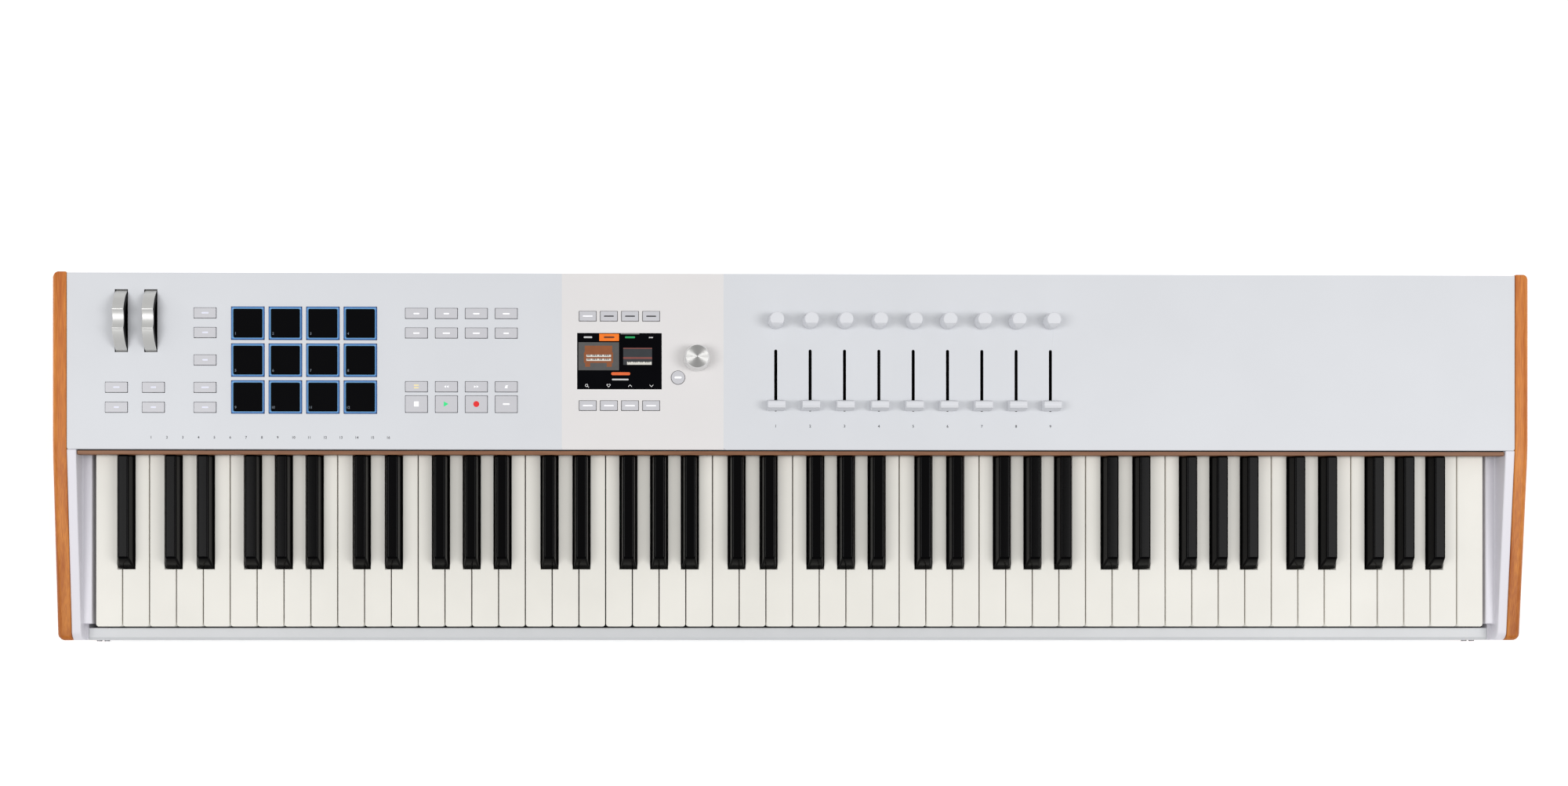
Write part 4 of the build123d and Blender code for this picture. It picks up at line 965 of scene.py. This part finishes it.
def make_screen():
    """What the screen shows: three tabs, two small keyboards, lines in place of words and four signs."""
    layer("grey", (0.085, 0.082, 0.080), [block(0.015, 0.165, 0.495, 0.660)], 0.00004)
    layer("tab", (1.0, 0.20, 0.0), [block(0.262, 0.014, 0.495, 0.142)], 0.00004)
    layer("line", (0.20, 0.20, 0.20), [block(0.515, 0.006, 0.735, 0.022)], 0.00004)
    layer("green", (0.0, 0.36, 0.10), [moved(bar(0.0088, 0.0016), at(0.625, TAB_ROW))], SCREEN_FIGURE)
    words = [moved(bar(0.0074, 0.0015), at(0.128, TAB_ROW)), moved(bar(0.0145, 0.0013), at(0.51, 0.825))]
    words += [moved(disc(0.0006, 12), at(u, 0.078)) for u in (0.855, 0.872, 0.889)]
    layer("words", (0.62, 0.62, 0.62), words, SCREEN_FIGURE)
    layer("tab_word", (0.16, 0.03, 0.0), [moved(bar(0.0092, 0.0016), at(0.378, TAB_ROW))], 0.00008)
    layer("title", (0.80, 0.13, 0.02), [moved(bar(0.0165, 0.0026), at(0.515, 0.722))], SCREEN_FIGURE)
    # The left picture is a wooden organ with two rows of keys, the right one a dark slab with one.
    organ = [block(0.090, 0.225, 0.415, 0.345), block(0.080, 0.345, 0.425, 0.530),
             block(0.095, 0.530, 0.155, 0.600), block(0.350, 0.530, 0.410, 0.600)]
    layer("organ", (0.27, 0.075, 0.016), organ, 0.00007)
    manuals = [block(0.110, 0.385, 0.400, 0.425), block(0.110, 0.455, 0.400, 0.495)]
    manuals += [block(0.590, 0.510, 0.880, 0.562)]
    layer("manuals", (0.72, 0.70, 0.64), manuals, 0.0001)
    layer("slab", (0.020, 0.024, 0.029), [block(0.545, 0.270, 0.885, 0.565)], 0.00006)
    trim = [block(0.545, 0.262, 0.885, 0.280), block(0.545, 0.425, 0.885, 0.462)]
    layer("slab_trim", (0.20, 0.055, 0.045), trim, 0.00008)
    layer("blacks", (0.004, 0.004, 0.004), black_keys(), 0.00013, 0.2)
    layer("signs", (0.80, 0.80, 0.80), signs(), SCREEN_FIGURE)


# ------------------------------------------------ printed numbers
def make_fader_numbers():
    """The numbers in front of the faders."""
    numbers = []
    for index in CONTROLS:
        x, _ = middle_of(*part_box(f"fader_{index}"))
        numbers.append((str(index), x, PANEL_FRONT + FADER_NUMBERS_AT, PANEL_Z))
    lettering("fader_numbers", numbers, FADER_NUMBERS, INK, "case")


def make_channel_numbers():
    """The channel numbers along the panel's front edge, behind the lowest keys."""
    y = PANEL_FRONT + CHANNEL_NUMBERS_AT
    numbers = [(str(i + 1), CHANNEL_FIRST + CHANNEL_PITCH * i, y, PANEL_Z) for i in range(CHANNELS)]
    lettering("channel_numbers", numbers, CHANNEL_NUMBERS, INK, "case")


# ------------------------------------------------ build
for note in ("a", "b", "c", "d", "e", "f", "g"):
    make_keys(f"keys_{note}", IVORY, 0.0007)
for note in ("a_sharp", "c_sharp", "d_sharp", "f_sharp", "g_sharp"):
    make_keys(f"keys_{note}", EBONY, 0.0016, round_corners=True)
for wheel_name in ("pitch_wheel", "mod_wheel"):
    make_wheel(wheel_name)
for knob_number in CONTROLS:
    make_knob(knob_number)
make_slot_ends([make_fader(fader_number) for fader_number in CONTROLS])
make_dial()
make_pads()
make_word_bars()
make_transport_signs()
make_display_bars()
make_screen()
make_socket_insides()
make_pad_frames()
for group_name in BUTTON_GROUPS:
    make_caps(group_name)
for end in ("left", "right"):
    refined(f"wood_cheek_{end}", 0.0008, CHEEK)
    refined(f"end_block_{end}", 0.0009, BLOCK)
refined("rubber_feet", 0.0008, FOOT)
make_strip()
pierced("top_cover", PAINT)
pierced("center_fascia", FASCIA)
paint(PAINT, "rear_panel")
paint(RAIL, "front_rail")
paint(STEEL, "bottom_pan", "keybed_frame")
paint(INNER_PLASTIC_AND_SHADE, "wheel_bracket", "control_sensors")
paint(GLASS, "display_module")
paint(SOCKET, "rear_connectors")
paint(BOARD, "circuit_boards")
paint(IRON, "key_hammers")
paint(SHAFT, "encoder_shaft")
paint(SCREW, "screws")
make_fader_numbers()
make_channel_numbers()


# ------------------------------------------------ floor, light and camera
def make_floor():
    """A plain pale table top."""
    bm = bmesh.new()
    bmesh.ops.create_grid(bm, x_segments=8, y_segments=8, size=FLOOR_HALF)
    mesh = bpy.data.meshes.new("floor")
    bm.to_mesh(mesh)
    bm.free()
    obj = bpy.data.objects.new("floor", mesh)
    bpy.context.scene.collection.objects.link(obj)
    finish = moulded("floor paint", (0.95, 0.95, 0.955), 0.8, grain=400.0, vary=0.003, level=0.1)
    shader = finish.node_tree.nodes["Principled BSDF"]
    shader.inputs["Emission Color"].default_value = (1.0, 1.0, 1.0, 1.0)
    shader.inputs["Emission Strength"].default_value = FLOOR_GLOW
    mesh.materials.append(finish)


def softbox(name, place, target, power):
    """A large rectangular light that faces a point."""
    light = bpy.data.lights.new(name, "AREA")
    light.shape = "RECTANGLE"
    light.size, light.size_y = SOFTBOX_SIZE
    light.energy = power
    obj = bpy.data.objects.new(name, light)
    bpy.context.scene.collection.objects.link(obj)
    obj.location = place
    obj.rotation_euler = (Vector(target) - Vector(place)).to_track_quat("-Z", "Y").to_euler()


def make_sky():
    """Soft studio light from all round, a little brighter straight above and at the two sides."""
    world = bpy.data.worlds.new("studio")
    bpy.context.scene.world = world
    world.use_nodes = True
    tree = world.node_tree
    background = tree.nodes["Background"]
    place = node(tree, "ShaderNodeTexCoord")
    parts = node(tree, "ShaderNodeSeparateXYZ")
    tree.links.new(place.outputs["Generated"], parts.inputs["Vector"])
    ring = ramp(tree, parts.outputs["Z"], [(height, (tone,) * 3) for height, tone in SKY_TONES])
    side = node(tree, "ShaderNodeMath", operation="MULTIPLY")
    tree.links.new(parts.outputs["X"], side.inputs[0])
    tree.links.new(parts.outputs["X"], side.inputs[1])
    gain = node(tree, "ShaderNodeMath", operation="MULTIPLY_ADD")
    gain.inputs[1].default_value = SIDE_GAIN
    gain.inputs[2].default_value = 1.0
    tree.links.new(side.outputs["Value"], gain.inputs[0])
    strength = node(tree, "ShaderNodeMath", operation="MULTIPLY")
    strength.inputs[1].default_value = SKY_STRENGTH
    tree.links.new(gain.outputs["Value"], strength.inputs[0])
    tree.links.new(ring, background.inputs["Color"])
    tree.links.new(strength.outputs["Value"], background.inputs["Strength"])


make_floor()
make_sky()
softbox("left", (-1.45, -0.1, 2.2), (-0.2, 0.0, 0.1), LEFT_WATTS)
softbox("right", (1.45, -0.1, 2.2), (0.2, 0.0, 0.1), RIGHT_WATTS)

camera_data = bpy.data.cameras.new("camera")
camera = bpy.data.objects.new("camera", camera_data)
bpy.context.scene.collection.objects.link(camera)
camera.location = CAMERA_AT
camera.rotation_euler = (0.0, CAMERA_TILT, 0.0)
camera_data.lens = LENS
camera_data.sensor_width = SENSOR
camera_data.shift_x, camera_data.shift_y = CAMERA_SHIFT
camera_data.clip_start, camera_data.clip_end = 0.05, 50.0
bpy.context.scene.camera = camera
bpy.context.scene.view_settings.view_transform = "Standard"
